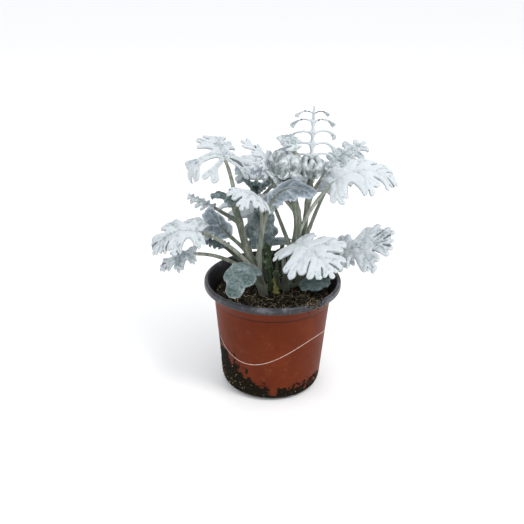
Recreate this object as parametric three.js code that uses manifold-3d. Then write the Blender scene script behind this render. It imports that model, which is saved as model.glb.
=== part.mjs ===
// A dusty miller in a round nursery pot: pot, soil, four leafy stems and their large leaves.
// Millimetres, +Z up. The origin is the middle of the pot's base, on the surface it stands on.
import * as THREE from "three";
import { mergeVertices } from "three/addons/utils/BufferGeometryUtils.js";
import Module from "manifold-3d";

const wasm = await Module();
wasm.setup();

// ---------------------------------------------------------------- driving dimensions

const GAP = 0.3; // clearance between pieces that touch

const POT = {
  height: 88,
  rimRadius: 52.5,
  lipHeight: 5.5,
  lipWidth: 3.3,
  collarRadius: 48.8, // just under the rolled lip
  creaseRadius: 45.4, // where the collar meets the wall
  creaseHeight: 74.5,
  creaseStep: 0.9, // how far the wall steps in below the crease
  footRadius: 38.6, // wall just above the rounded foot
  footHeight: 6,
  baseRadius: 33.5, // flat that the pot stands on
  wall: 1.2,
  baseWall: 1.6,
  drainHoles: 8,
  drainRadius: 4,
  drainCircle: 24,
  sides: 32,
};

const SOIL = {
  top: 76,
  mound: 2.2, // how much higher the soil is round the stems than at the pot's wall
  clod: 0.9, // height of its lumps
  rings: 4,
};

const LEAF = {
  thickness: 0.7,
  stalkRadius: 1.5, // at the stem
  ribRadius: 0.65, // where the stalk runs out under the blade
  ribShare: 0.2, // share of the blade that the rib runs under
  neck: 1.3, // half width of the blade where it starts
  midribWeb: 1.2, // least width of blade left along the midrib in a notch
  waistedReach: 0.55, // lobes that reach further than this share of the half width may have a waist
};

const STEM_SIDES = 7;
const STALK_SIDES = 5;

// Each stem: points of its middle line from inside the soil to the tip, its radius at both ends,
// and the young leaves over its tip. An open crown says how far round it they go in degrees and how
// far they arch. A closed one is a ball of curled leaves: its radius and how many ribs it shows.
const STEMS = {
  left: {
    line: [[-5, -10], [-7, -10], [-16, -7], [-22, -3], [-27, 1], [-31, 4]],
    heights: [60, 80, 104, 120, 138, 147],
    radii: [3.4, 2.2],
    crown: { leaves: 2, rise: 82, length: 15, arch: 60, width: 13, firstTurn: 190, round: 160 },
  },
  middle: {
    line: [[9, 0], [10, 0], [15, 0], [18, 1], [15, 0], [7, -2]],
    heights: [60, 80, 108, 130, 150, 172],
    radii: [4, 2.2],
    ball: { radius: 10.8, ribs: 9 },
  },
  right: {
    line: [[17, 9], [18, 9], [21, 9], [24, 9], [27, 11]],
    heights: [60, 80, 106, 134, 168],
    radii: [3, 1.8],
    ball: { radius: 7.8, ribs: 7 },
  },
  back: {
    line: [[-6, 14], [-7, 16], [-10, 22], [-13, 28], [-13, 30]],
    heights: [60, 80, 106, 130, 146],
    radii: [3.2, 2],
    crown: { leaves: 3, rise: 82, length: 18, arch: 70, width: 12, firstTurn: 190, round: 220 },
  },
};

// Leaf outlines. Each lobe is [place, angle, reach, fingers] and grows along a side vein: place is
// where the vein leaves the midrib as a share of the blade, angle its turn from the midrib in
// degrees, reach its length as a share of the blade's half width, and fingers how many round
// fingers it ends in. tip is where the end lobe starts, cut how near the midrib the notches come
// (0 is on it; one number, or one for each lobe), and roundness the fingers' radius as a share of
// the lobe. Long lobes may have a narrow waist, [from, to, half width] as shares of the lobe, and
// hook bends every lobe back in degrees.
const FORMS = {
  broad: {
    lobes: [[0.1, 106, 0.75, 3], [0.36, 62, 1, 3], [0.6, 38, 0.7, 2]],
    tip: 0.66,
    tipFingers: 3,
    cut: 0.3,
    roundness: 0.135,
  },
  small: {
    lobes: [[0.1, 84, 0.8, 2], [0.42, 54, 1, 3]],
    tip: 0.6,
    tipFingers: 3,
    cut: 0.31,
    roundness: 0.14,
  },
  arms: {
    lobes: [[0.05, 116, 0.62, 2], [0.22, 88, 1.05, 3], [0.5, 52, 0.5, 2], [0.7, 42, 0.36, 1]],
    tip: 0.76,
    tipFingers: 1,
    cut: [0.14, 0.34, 0.5, 0.5],
    roundness: 0.12,
    waist: [0.25, 0.5, 0.08],
    hook: 30,
  },
  frond: {
    lobes: [[0.03, 70, 0.8, 1], [0.2, 64, 1.05, 1], [0.38, 60, 1.05, 1], [0.56, 54, 0.95, 1], [0.74, 48, 0.75, 1]],
    tip: 0.88,
    tipFingers: 1,
    cut: 0.06,
    roundness: 0.16,
    waist: [0.2, 0.65, 0.05],
    hook: 95,
  },
  bud: {
    lobes: [[0.2, 74, 0.95, 1], [0.54, 62, 0.9, 1]],
    tip: 0.68,
    tipFingers: 1,
    cut: 0.4,
    roundness: 0.3,
  },
  young: {
    lobes: [[0.08, 82, 0.8, 1], [0.26, 75, 1, 1], [0.44, 68, 1, 1], [0.62, 60, 0.9, 1], [0.78, 50, 0.7, 1]],
    tip: 0.84,
    tipFingers: 1,
    cut: 0.3,
    roundness: 0.26,
  },
  round: {
    lobes: [[0.14, 70, 0.82, 1], [0.42, 48, 1, 1]],
    tip: 0.56,
    tipFingers: 1,
    cut: 0.95,
    roundness: 0.4,
  },
};

// ---------------------------------------------------------------- small helpers

const rad = THREE.MathUtils.degToRad;
const mix = THREE.MathUtils.lerp;
const vector = (x, y, z) => new THREE.Vector3(x, y, z);

// A closed geometry as a manifold solid.
function solidOf(geometry) {
  const bare = geometry.clone();
  bare.deleteAttribute("normal");
  bare.deleteAttribute("uv");
  const merged = mergeVertices(bare, 1e-4);
  return new wasm.Manifold(
    new wasm.Mesh({
      numProp: 3,
      vertProperties: merged.attributes.position.array,
      triVerts: new Uint32Array(merged.index.array),
    }),
  );
}

function geometryOf(solid) {
  const mesh = solid.getMesh();
  const geometry = new THREE.BufferGeometry();
  geometry.setAttribute("position", new THREE.BufferAttribute(mesh.vertProperties, 3));
  geometry.setIndex(new THREE.BufferAttribute(mesh.triVerts, 1));
  geometry.computeVertexNormals();
  return geometry;
}

function indexedGeometry(points, triangles) {
  const geometry = new THREE.BufferGeometry().setFromPoints(points);
  geometry.setIndex(triangles.flat());
  return geometry;
}

const largestPiece = (solid) =>
  solid.decompose().reduce((most, piece) => (piece.volume() > most.volume() ? piece : most));

// A round, tapering, closed rod through rings of points: each stop has a point, two directions
// across the rod, and a radius.
function rod(stops, sides) {
  const points = [];
  const triangles = [];
  for (const { point, side, up, radius } of stops)
    for (let k = 0; k < sides; k++) {
      const angle = (2 * Math.PI * k) / sides;
      points.push(
        point
          .clone()
          .addScaledVector(side, radius * Math.cos(angle))
          .addScaledVector(up, radius * Math.sin(angle)),
      );
    }
  for (let ring = 0; ring < stops.length - 1; ring++)
    for (let k = 0; k < sides; k++) {
      const a = ring * sides + k;
      const b = ring * sides + ((k + 1) % sides);
      triangles.push([a, b, b + sides], [a, b + sides, a + sides]);
    }
  const last = (stops.length - 1) * sides;
  for (let k = 1; k < sides - 1; k++) {
    triangles.push([0, k + 1, k]);
    triangles.push([last, last + k, last + k + 1]);
  }
  return solidOf(indexedGeometry(points, triangles));
}

// ---------------------------------------------------------------- pot

// The thin shell: flat base, rounded foot, tapering wall, crease, collar and rolled lip.
function potProfile() {
  const p = POT;
  const lipBottom = p.height - p.lipHeight;
  const inside = p.rimRadius - p.lipWidth;
  const foot = [0.35, 0.75].map((share) => [
    mix(p.baseRadius, p.footRadius, Math.sin((share * Math.PI) / 2)),
    p.footHeight * (1 - Math.cos((share * Math.PI) / 2)),
  ]);
  const outer = [
    [0, 0],
    [p.baseRadius, 0],
    ...foot,
    [p.footRadius, p.footHeight],
    [p.creaseRadius - p.creaseStep, p.creaseHeight - 1.6],
    [p.creaseRadius, p.creaseHeight],
    [p.collarRadius, lipBottom + 0.3],
    [p.rimRadius - 0.7, lipBottom],
    [p.rimRadius, lipBottom + 1.2],
    [p.rimRadius, p.height - 1.3],
    [p.rimRadius - 1.1, p.height],
    [inside + 0.9, p.height],
    [inside, p.height - 1.1],
  ];
  const inner = [
    [p.collarRadius - p.wall, lipBottom],
    [p.creaseRadius - p.wall, p.creaseHeight - 0.4],
    [p.creaseRadius - p.creaseStep - p.wall, p.creaseHeight - 1.9],
    [p.footRadius - p.wall, p.footHeight + 0.3],
    [p.baseRadius - 0.6, p.baseWall],
    [0, p.baseWall],
  ];
  return [...outer, ...inner].map(([r, z]) => new THREE.Vector2(r, z));
}

// A lathe turns about Y, so the shape is laid over to turn about Z.
function turned(profile, sides) {
  return new THREE.LatheGeometry(profile, sides).rotateX(Math.PI / 2);
}

function potGeometry() {
  let shell = solidOf(turned(potProfile(), POT.sides));
  for (let k = 0; k < POT.drainHoles; k++) {
    const angle = (2 * Math.PI * (k + 0.5)) / POT.drainHoles;
    const drill = new THREE.CylinderGeometry(POT.drainRadius, POT.drainRadius, 4 * POT.baseWall, 8)
      .rotateX(Math.PI / 2)
      .translate(POT.drainCircle * Math.cos(angle), POT.drainCircle * Math.sin(angle), 0);
    shell = shell.subtract(solidOf(drill));
  }
  return geometryOf(shell);
}

// ---------------------------------------------------------------- soil

// The root ball: it fills the pot up to its top, which is lumpy and mounded round the stems.
function soilGeometry(holes) {
  const p = POT;
  const edge = p.creaseRadius - p.creaseStep - p.wall - GAP;
  const side = [
    [0, p.baseWall + GAP],
    [p.baseRadius - 1.2, p.baseWall + GAP],
    [p.footRadius - p.wall - GAP, p.footHeight + 2 * GAP],
    [edge, p.creaseHeight - 2],
  ];
  const top = Array.from({ length: SOIL.rings + 1 }, (_, k) => {
    const share = k / SOIL.rings;
    return [edge * (1 - share), SOIL.top + SOIL.mound * Math.sin((share * Math.PI) / 2)];
  });
  const profile = [...side, ...top].map(([r, z]) => new THREE.Vector2(r, z));
  const ball = turned(profile, p.sides);
  const position = ball.getAttribute("position");
  for (let k = 0; k < position.count; k++) {
    const [x, y, z] = [position.getX(k), position.getY(k), position.getZ(k)];
    if (z < SOIL.top) continue;
    const lump = Math.sin(0.55 * x + 0.8) * Math.cos(0.62 * y) + 0.6 * Math.sin(0.9 * x - 0.7 * y);
    position.setZ(k, z + SOIL.clod * lump);
  }
  return geometryOf(holes.reduce((soil, hole) => soil.subtract(hole), solidOf(ball)));
}

// ---------------------------------------------------------------- stems

function stemCurve({ line, heights }) {
  const points = line.map(([x, y], k) => vector(x, y, heights[k]));
  return new THREE.CatmullRomCurve3(points, false, "catmullrom", 0.5);
}

// The stem as a rod, made larger by extra all round.
function stemRod(stem, extra = 0) {
  const curve = stemCurve(stem);
  const steps = 3 * (stem.line.length - 1);
  const stops = [];
  for (let k = 0; k <= steps; k++) {
    const share = k / steps;
    const along = curve.getTangent(share);
    const side = vector(0, 1, 0).cross(along).normalize();
    stops.push({
      point: curve.getPoint(share),
      side,
      up: along.clone().cross(side),
      radius: mix(...stem.radii, share) + extra,
    });
  }
  stops[0].point.addScaledVector(curve.getTangent(0), -extra);
  stops.at(-1).point.addScaledVector(curve.getTangent(1), extra);
  return rod(stops, STEM_SIDES);
}

// ---------------------------------------------------------------- leaves

// The line that a leaf grows along: its stalk, then its midrib. It gives the point, the heading,
// the direction to the leaf's left and the direction out of its upper side, at any distance.
function leafLine(base, leaf) {
  const length = leaf.stalk + leaf.blade;
  const steps = 80;
  const step = length / steps;
  const stops = [];
  const point = base.clone();
  for (let k = 0; k <= steps; k++) {
    const distance = k * step;
    const stalkShare = Math.min(1, distance / leaf.stalk);
    const bladeShare = Math.max(0, (distance - leaf.stalk) / leaf.blade);
    const rise = rad(leaf.rise - leaf.stalkBend * stalkShare - leaf.bladeBend * bladeShare);
    const turn = rad(leaf.turn);
    const roll = rad(leaf.roll * stalkShare);
    const along = vector(
      Math.cos(rise) * Math.cos(turn),
      Math.cos(rise) * Math.sin(turn),
      Math.sin(rise),
    );
    const left = vector(-Math.sin(turn), Math.cos(turn), 0);
    const side = left.applyAxisAngle(along, roll);
    stops.push({ point: point.clone(), along, side, up: along.clone().cross(side) });
    point.addScaledVector(along, step);
  }
  return (distance) => {
    const place = THREE.MathUtils.clamp(distance / step, 0, steps);
    const k = Math.min(steps - 1, Math.floor(place));
    const blend = (name) => stops[k][name].clone().lerp(stops[k + 1][name], place - k);
    const stop = { point: blend("point"), along: blend("along"), side: blend("side"), up: blend("up") };
    stop.point.addScaledVector(stop.along, distance - place * step);
    return stop;
  };
}

// A point of the flat blade (x along the midrib, y to its left) on the bent blade. Across the
// midrib the blade first rises by its cup angle, then droops, and curls at its edge.
function bladePoint(line, leaf, x, y) {
  const { point, side, up } = line(leaf.stalk + x);
  const steps = 8;
  const across = Math.abs(y);
  let out = 0;
  let lift = 0;
  for (let k = 0; k < steps; k++) {
    const share = ((k + 0.5) / steps) * (across / (leaf.width / 2));
    const slope = rad(leaf.cup - leaf.droop * share - leaf.curl * share ** 3);
    out += (Math.cos(slope) * across) / steps;
    lift += (Math.sin(slope) * across) / steps;
  }
  return point.addScaledVector(side, Math.sign(y) * out).addScaledVector(up, lift);
}

// Where a lobe's round fingers sit. A finger is [along, across, turn, radius, span, points]: its
// place along and across the vein and its radius are shares of the lobe's length, turn is the way
// it points and span half the arc that it shows, in degrees. A notch between two is [along, across].
function fingersOf(count, radius) {
  if (count === 1 && radius > 0.25)
    return { palm: 0.55, fingers: [[0.99 - radius, 0, 0, radius, 80, 4]], notches: [] };
  if (count === 1)
    return { palm: 0.55, fingers: [[0.99 - radius, 0, 0, radius, 50, 2]], notches: [] };
  if (count === 2)
    return {
      palm: 0.56,
      fingers: [[0.86, 0.14, 24, 1.05 * radius, 68, 2], [0.84, -0.14, -26, radius, 68, 2]],
      notches: [[0.75, 0]],
    };
  return {
    palm: 0.55,
    fingers: [
      [0.72, 0.2, 38, 0.9 * radius, 70, 2],
      [0.87, 0, 0, radius, 66, 2],
      [0.72, -0.2, -38, 0.9 * radius, 70, 2],
    ],
    notches: [[0.74, 0.095], [0.74, -0.095]],
  };
}

// The border of one lobe on the flat blade, from its outer side round to its inner side.
function lobeBorder(vein) {
  const { hook, waist } = vein;
  const { palm, fingers, notches } = fingersOf(vein.fingers, vein.roundness);
  const onLobe = (along, across) => {
    const steps = 6;
    let [x, y] = [vein.x, 0];
    for (let k = 0; k < steps; k++) {
      const heading = vein.angle + (hook * along * (k + 0.5)) / steps;
      x += (vein.reach * along * Math.cos(heading)) / steps;
      y += (vein.reach * along * Math.sin(heading)) / steps;
    }
    const heading = vein.angle + hook * along;
    return [x - vein.reach * across * Math.sin(heading), y + vein.reach * across * Math.cos(heading)];
  };
  const narrow = waist ? [waist[0], (waist[0] + waist[1]) / 2, waist[1]] : [];
  const border = narrow.map((along) => onLobe(along, waist[2]));
  fingers.forEach(([along, across, turn, radius, span, count], finger) => {
    const [x, y] = onLobe(along, across);
    const heading = vein.angle + rad(turn) + hook * along;
    for (let k = 0; k < count; k++) {
      const angle = heading + rad(mix(span, -span, k / (count - 1)));
      border.push([
        x + vein.reach * radius * Math.cos(angle),
        y + vein.reach * radius * Math.sin(angle),
      ]);
    }
    if (finger < notches.length) border.push(onLobe(...notches[finger]));
  });
  border.push(...narrow.reverse().map((along) => onLobe(along, -waist[2])));
  return { palm: onLobe(palm, 0), border };
}

// The flat blade as fans: each has a palm point and the points round it. The left half's fans come
// first, then their mirror images, then the end lobe's.
function bladeFans(leaf) {
  const form = FORMS[leaf.form];
  const half = leaf.width / 2;
  const veins = form.lobes.map(([place, angle, reach, fingers]) => ({
    x: leaf.blade * place,
    angle: rad(angle),
    reach: half * reach,
    fingers,
    roundness: form.roundness,
    hook: rad(form.hook ?? 0),
    waist: reach > LEAF.waistedReach ? form.waist : undefined,
  }));
  veins.push({
    x: leaf.blade * form.tip,
    angle: 0,
    reach: leaf.blade * (1 - form.tip),
    fingers: form.tipFingers,
    roundness: form.tipFingers === 3 ? Math.max(1.15 * form.roundness, 0.14) : 0.3,
    hook: 0,
  });
  const feet = [0, ...veins.slice(1).map((vein, k) => (veins[k].x + vein.x) / 2)];
  const notchAfter = (k) => {
    if (k < 0) return [0, LEAF.neck];
    const heading = (veins[k].angle + veins[k + 1].angle) / 2;
    const room = veins[k + 1].angle > 0 ? Math.min(veins[k].reach, veins[k + 1].reach) : veins[k].reach;
    const cut = Array.isArray(form.cut) ? form.cut[k] : form.cut;
    const depth = Math.max(cut * room, LEAF.midribWeb / Math.max(0.3, Math.sin(heading)));
    return [feet[k + 1] + depth * Math.cos(heading), depth * Math.sin(heading)];
  };
  const fans = veins.slice(0, -1).map((vein, k) => {
    const { palm, border } = lobeBorder(vein);
    return {
      palm,
      border: [[feet[k], 0], notchAfter(k - 1), ...border, notchAfter(k), [feet[k + 1], 0], [vein.x, 0]],
    };
  });
  const mirrored = fans.map(({ palm, border }) => ({
    palm: [palm[0], -palm[1]],
    border: border.map(([x, y]) => [x, -y]).reverse(),
  }));
  const end = lobeBorder(veins.at(-1));
  const [x, y] = notchAfter(veins.length - 2);
  const endFan = { palm: end.palm, border: [[feet.at(-1), 0], [x, y], ...end.border, [x, -y]] };
  return [...fans, ...mirrored, endFan];
}

// The blade as a closed sheet: both faces have the same triangles, half a thickness either side of
// the middle, joined along the border.
function bladeSolid(line, leaf) {
  const flat = [];
  const places = new Map();
  const indexOf = ([x, y]) => {
    const key = x.toFixed(3) + " " + (y + 0).toFixed(3).replace("-0.000", "0.000");
    if (!places.has(key)) {
      places.set(key, flat.length);
      flat.push([x, y]);
    }
    return places.get(key);
  };
  const triangles = [];
  for (const { palm, border } of bladeFans(leaf)) {
    const centre = indexOf(palm);
    const round = border.map(indexOf);
    round.forEach((a, k) => {
      const b = round[(k + 1) % round.length];
      if (a !== b) triangles.push([centre, b, a]);
    });
  }
  const middle = flat.map(([x, y]) => bladePoint(line, leaf, x, y));
  const sheet = indexedGeometry(middle, triangles);
  sheet.computeVertexNormals();
  const normals = sheet.getAttribute("normal");
  const shifted = (amount) =>
    middle.map((point, k) =>
      point.clone().addScaledVector(vector().fromBufferAttribute(normals, k), amount),
    );
  const count = middle.length;
  const edges = new Set(triangles.flatMap(([a, b, c]) => [a + "," + b, b + "," + c, c + "," + a]));
  const faces = triangles.flatMap(([a, b, c]) => [[a, b, c], [a + count, c + count, b + count]]);
  for (const edge of edges) {
    const [a, b] = edge.split(",").map(Number);
    if (!edges.has(b + "," + a)) faces.push([a, a + count, b + count], [a, b + count, b]);
  }
  const half = LEAF.thickness / 2;
  return solidOf(indexedGeometry([...shifted(half), ...shifted(-half)], faces));
}

// The stalk from inside the stem to the neck, and on under the blade as its rib.
function stalkSolid(line, leaf) {
  const end = leaf.stalk + LEAF.ribShare * leaf.blade;
  const steps = Math.max(3, Math.round(end / 15));
  const stops = [];
  for (let k = 0; k <= steps; k++) {
    const distance = (end * k) / steps;
    const radius = mix(LEAF.stalkRadius, LEAF.ribRadius, k / steps);
    const stop = line(distance);
    if (distance > leaf.stalk) stop.point.addScaledVector(stop.up, -0.5 * radius);
    stops.push({ ...stop, radius });
  }
  return rod(stops, STALK_SIDES);
}

function leafSolid(base, leaf) {
  const line = leafLine(base, leaf);
  return bladeSolid(line, leaf).add(stalkSolid(line, leaf));
}

// The young leaves of an open crown, evenly spaced, each rising from the tip and arching out.
function crownLeaves({ leaves, rise, length, arch, width, firstTurn, round }) {
  return Array.from({ length: leaves }, (_, k) => ({
    turn: firstTurn + (round * k) / leaves,
    rise,
    stalk: 1,
    stalkBend: 0,
    blade: length,
    bladeBend: arch,
    width,
    form: "bud",
    cup: 0,
    droop: 70,
    curl: 60,
    roll: 0,
  }));
}

// The closed crown: a ball that sits on the stem's tip, with upright ribs, grown by extra all round.
function crownBall(stem, extra = 0) {
  const { radius, ribs } = stem.ball;
  const ball = new THREE.SphereGeometry(radius, 3 * ribs, 10).rotateX(Math.PI / 2);
  const position = ball.getAttribute("position");
  for (let k = 0; k < position.count; k++) {
    const [x, y, z] = [position.getX(k), position.getY(k), position.getZ(k)];
    const rib = 0.06 * Math.cos(ribs * Math.atan2(y, x)) * Math.sin((Math.PI * Math.hypot(x, y)) / (2 * radius));
    const size = 1 + rib + extra / radius;
    position.setXYZ(k, x * size, y * size, z * size);
  }
  const tip = stemCurve(stem).getPoint(1);
  return solidOf(ball.translate(tip.x, tip.y, tip.z + 0.9 * radius));
}

// ---------------------------------------------------------------- assembly

// The large leaves: the stem, the share of its height where the leaf grows, the turn it grows in
// and its rise in degrees, the length and bend of its stalk, the length and bend of its blade, its
// width, its outline, how far it cups, droops and curls across, and how far it is rolled over.
const LEAVES = [
  // upper right: the upright frond, the big spread leaf, and those round them
  ["right", 0.93, 104, 90, 15, -8, 47, 12, 50, "frond", [10, 60, 60], -8],
  ["middle", 0.42, 4, 80, 59, 33, 57, 98, 58, "broad", [10, 60, 40], 18],
  ["right", 0.84, 42, 57, 29, 19, 44, 42, 30, "young", [0, 70, 60], 18],
  ["right", 0.45, 56, 62, 56, 20, 46, 80, 36, "broad", [8, 50, 30], 0],
  // over the middle
  ["middle", 0.84, 175, 57, 15, -2, 42, 34, 23, "broad", [15, 40, 30], -32],
  ["middle", 0.72, 173, 46, 35, -9, 19, 65, 23, "small", [5, 90, 40], 35],
  ["left", 0.24, 14, 99, 66, 28, 41, 130, 24, "round", [-20, 30, 0], -95],
  ["back", 0.25, 205, 95, 25, 11, 34, 12, 39, "round", [5, 15, 0], -73],
  ["middle", 0.4, 150, 64, 36, 0, 20, 70, 26, "small", [5, 60, 30], 0],
  // upper left
  ["left", 0.86, 114, 82, 40, 53, 28, 4, 77, "arms", [10, 110, 30], 11],
  ["left", 0.35, 241, 124, 52, 52, 35, 131, 40, "small", [5, 40, 25], -21],
  ["left", 0.74, 157, 20, 22, -2, 24, 21, 15, "young", [0, 70, 60], 2],
  ["left", 0.5, 165, 30, 16, -14, 28, -7, 29, "round", [-15, 30, 10], 86],
  // low on the left
  ["left", 0.25, 186, 69, 64, 49, 45, 93, 43, "broad", [8, 50, 30], -26],
  ["left", 0.22, 180, 61, 61, 64, 32, 52, 26, "broad", [5, 40, 20], -34],
  ["left", 0.22, 245, 86, 35, 60, 38, 103, 31, "round", [0, 20, 10], -9],
  ["left", 0.24, 143, 44, 42, 24, 20, 50, 14, "young", [5, 50, 30], 0],
  // low on the right
  ["middle", 0.25, 303, 130, 39, 110, 53, 58, 58, "broad", [6, 32, 18], 18],
  ["right", 0.25, 343, 54, 46, 26, 43, 12, 53, "broad", [8, 40, 20], 29],
  ["middle", 0.2, 346, 23, 11, 7, 25, 13, 25, "round", [5, 20, 10], 11],
  // the far side
  ["back", 0.35, 110, 60, 40, 25, 52, 90, 54, "small", [8, 50, 30], 0],
  ["back", 0.56, 62, 62, 40, 20, 50, 92, 50, "small", [8, 52, 30], 0],
  ["back", 0.3, 165, 55, 48, 30, 50, 80, 50, "small", [8, 50, 30], 0],
  ["right", 0.3, 60, 16, 42, 6, 50, 60, 48, "small", [8, 50, 30], 0],
  ["back", 0.9, 95, 60, 16, 10, 42, 80, 44, "small", [10, 60, 40], 0],
  ["back", 0.86, 10, 54, 18, 10, 38, 70, 36, "small", [10, 60, 40], 0],
  ["back", 0.2, 80, 70, 34, 60, 44, 60, 34, "round", [5, 20, 10], 0],
  ["right", 0.34, 24, 30, 36, 30, 42, 60, 42, "small", [5, 40, 20], 0],
  ["middle", 0.93, 130, 110, 27, 14, 21, 160, 16, "young", [0, 70, 60], 0],
];

const LOOKS = {
  terracotta: { color: "#6c3625", roughness: 0.5, metalness: 0 },
  peat: { color: "#23211a", roughness: 1, metalness: 0 },
  stemFelt: { color: "#7c8375", roughness: 0.9, metalness: 0 },
  leafFelt: { color: "#dce4e6", roughness: 0.95, metalness: 0 },
};

function piece(name, geometry, look) {
  const mesh = new THREE.Mesh(geometry, new THREE.MeshStandardMaterial(look));
  mesh.name = name;
  return mesh;
}

function leafOfRow([stem, at, turn, rise, stalk, stalkBend, blade, bladeBend, width, form, across, roll]) {
  const [cup, droop, curl] = across;
  return { stem, at, turn, rise, stalk, stalkBend, blade, bladeBend, width, form, cup, droop, curl, roll };
}

// A stem's young leaves as one solid, with extra clearance round a ball of them.
function crownSolid(stem, extra = 0) {
  if (stem.ball) return crownBall(stem, extra);
  const solids = crownLeaves(stem.crown).map((leaf) => {
    const outward = vector(1, 0, 0).applyAxisAngle(vector(0, 0, 1), rad(leaf.turn));
    const base = stemCurve(stem).getPoint(0.98).addScaledVector(outward, 0.7 * stem.radii[1]);
    return bladeSolid(leafLine(base, leaf), leaf);
  });
  return solids.reduce((whole, leaf) => whole.add(leaf));
}

// A stem with its young leaves fused to its tip, and its large leaves seated against it.
function leafyStem(name, stem) {
  const group = new THREE.Group();
  const body = stemRod(stem).add(crownSolid(stem));
  group.add(piece("stem_" + name, geometryOf(largestPiece(body)), LOOKS.stemFelt));
  let clearance = stemRod(stem, GAP);
  if (stem.ball) clearance = clearance.add(crownBall(stem, GAP));
  const leaves = LEAVES.map(leafOfRow).filter((leaf) => leaf.stem === name);
  leaves.forEach((leaf, k) => {
    const solid = leafSolid(stemCurve(stem).getPoint(leaf.at), leaf).subtract(clearance);
    group.add(piece("leaf_" + name + "_" + (k + 1), geometryOf(largestPiece(solid)), LOOKS.leafFelt));
  });
  return group;
}

const plant = new THREE.Group();
plant.add(piece("pot", potGeometry(), LOOKS.terracotta));
const stemHoles = Object.values(STEMS).map((stem) => stemRod(stem, GAP));
plant.add(piece("soil", soilGeometry(stemHoles), LOOKS.peat));
for (const [name, stem] of Object.entries(STEMS)) plant.add(leafyStem(name, stem));

export default plant;
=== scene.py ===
# %% [markdown]
# # A potted dusty miller
#
# A young dusty miller grows in a thin plastic nursery pot. Its leaves are cut into round-fingered
# lobes and wear a dense silver-white felt, which is thinner and slate-grey underneath.
#
# The lesson builds the plant from the pot up: pot, soil, stems, leaves, and then the small things
# that make it look used, such as soil on the rim. Each piece takes the place of the plain solid of
# the same name. Sizes are worked out in millimetres, because that is how one thinks of a leaf, and
# become metres where a mesh is made.

import math

import bmesh
import bpy
import numpy as np
from mathutils import Matrix, Vector
from mathutils.geometry import delaunay_2d_cdt


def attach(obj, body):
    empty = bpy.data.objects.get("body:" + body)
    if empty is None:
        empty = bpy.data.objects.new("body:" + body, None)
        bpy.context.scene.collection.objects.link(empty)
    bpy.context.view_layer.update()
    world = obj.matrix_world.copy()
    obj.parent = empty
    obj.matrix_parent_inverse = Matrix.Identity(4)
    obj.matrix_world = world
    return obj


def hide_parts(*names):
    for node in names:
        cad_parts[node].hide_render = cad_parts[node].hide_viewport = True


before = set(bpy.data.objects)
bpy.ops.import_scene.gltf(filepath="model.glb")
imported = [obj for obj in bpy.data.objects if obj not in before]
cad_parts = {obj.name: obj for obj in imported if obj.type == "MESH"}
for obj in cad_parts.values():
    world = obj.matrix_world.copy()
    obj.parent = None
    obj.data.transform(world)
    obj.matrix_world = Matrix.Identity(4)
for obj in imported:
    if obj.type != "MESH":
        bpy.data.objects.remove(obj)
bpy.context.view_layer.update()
MM = 0.001
print("plain solids:", len(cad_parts))

# %% [markdown]
# ## Where the camera stands
#
# The plant is seen from a little above, so that the soil shows inside the rim. A lens of about
# 55 mm at 0.6 m flattens the pot's ellipse as the eye does. The camera could be aimed with a
# constraint, but two turns written out are easier to adjust by a tenth of a degree.

# %% Camera
CAMERA_TARGET = Vector((0, 0, 0.100))
CAMERA_DISTANCE = 0.610
CAMERA_DROP = math.radians(24.85)
CAMERA_ROLL = math.radians(1.12)
PICTURE_SIDE = 524

lens = bpy.data.cameras.new("camera")
lens.lens = 54.96
lens.sensor_width = 36
lens.shift_x = -11 / PICTURE_SIDE
lens.shift_y = 1.1 / PICTURE_SIDE
lens.clip_start = 0.01
camera = bpy.data.objects.new("camera", lens)
bpy.context.scene.collection.objects.link(camera)
look = Vector((0, math.cos(CAMERA_DROP), -math.sin(CAMERA_DROP)))
place = Matrix.Translation(CAMERA_TARGET - look * CAMERA_DISTANCE)
tip_down = Matrix.Rotation(math.pi / 2 - CAMERA_DROP, 4, "X")
camera.matrix_world = place @ tip_down @ Matrix.Rotation(CAMERA_ROLL, 4, "Z")
bpy.context.scene.camera = camera
print("camera height in mm:", round(camera.matrix_world.translation.z / MM))

# %% [markdown]
# ## Light and floor
#
# A felted leaf is almost white, so it needs soft light from all round and one larger, stronger lamp
# that gives its folds a shaded side. The floor is plain and pale, and it throws light back up under
# the leaves. The plain view transform keeps the whites white.

# %% Floor, sky and lamps
scene = bpy.context.scene
scene.view_settings.view_transform = "Standard"
world = bpy.data.worlds.new("soft sky")
scene.world = world
world.use_nodes = True
world.node_tree.nodes["Background"].inputs["Color"].default_value = (0.97, 0.98, 1, 1)
world.node_tree.nodes["Background"].inputs["Strength"].default_value = 1.01


def soft_lamp(name, place, aim, size, power, tint=(1, 1, 1)):
    lamp = bpy.data.lights.new(name, "AREA")
    lamp.size = size
    lamp.energy = power
    lamp.color = tint
    holder = bpy.data.objects.new(name, lamp)
    bpy.context.scene.collection.objects.link(holder)
    holder.location = place
    holder.rotation_mode = "QUATERNION"
    holder.rotation_quaternion = (Vector(aim) - Vector(place)).to_track_quat("-Z", "Y")
    return holder


soft_lamp("key lamp", (0.60, -0.45, 1.05), (0, 0, 0.12), 0.4, 6.6, (1, 0.985, 0.96))
soft_lamp("fill lamp", (-0.95, -0.5, 0.55), (0, 0, 0.1), 0.9, 1.0, (0.95, 0.975, 1))
soft_lamp("back lamp", (-0.15, 0.95, 0.8), (0, 0, 0.12), 0.7, 2)
bpy.ops.mesh.primitive_plane_add(size=6, location=(0, 0, 0))
floor = bpy.context.object
floor.name = "floor"
print("lamps:", len(bpy.data.lights))

# %% [markdown]
# ## A finish
#
# Every surface gets a finish, and each starts from the same few values: how rough it is, how much
# of a soft rim it has, and how strongly it mirrors. The floor needs nothing more, as it is plain.

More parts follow.
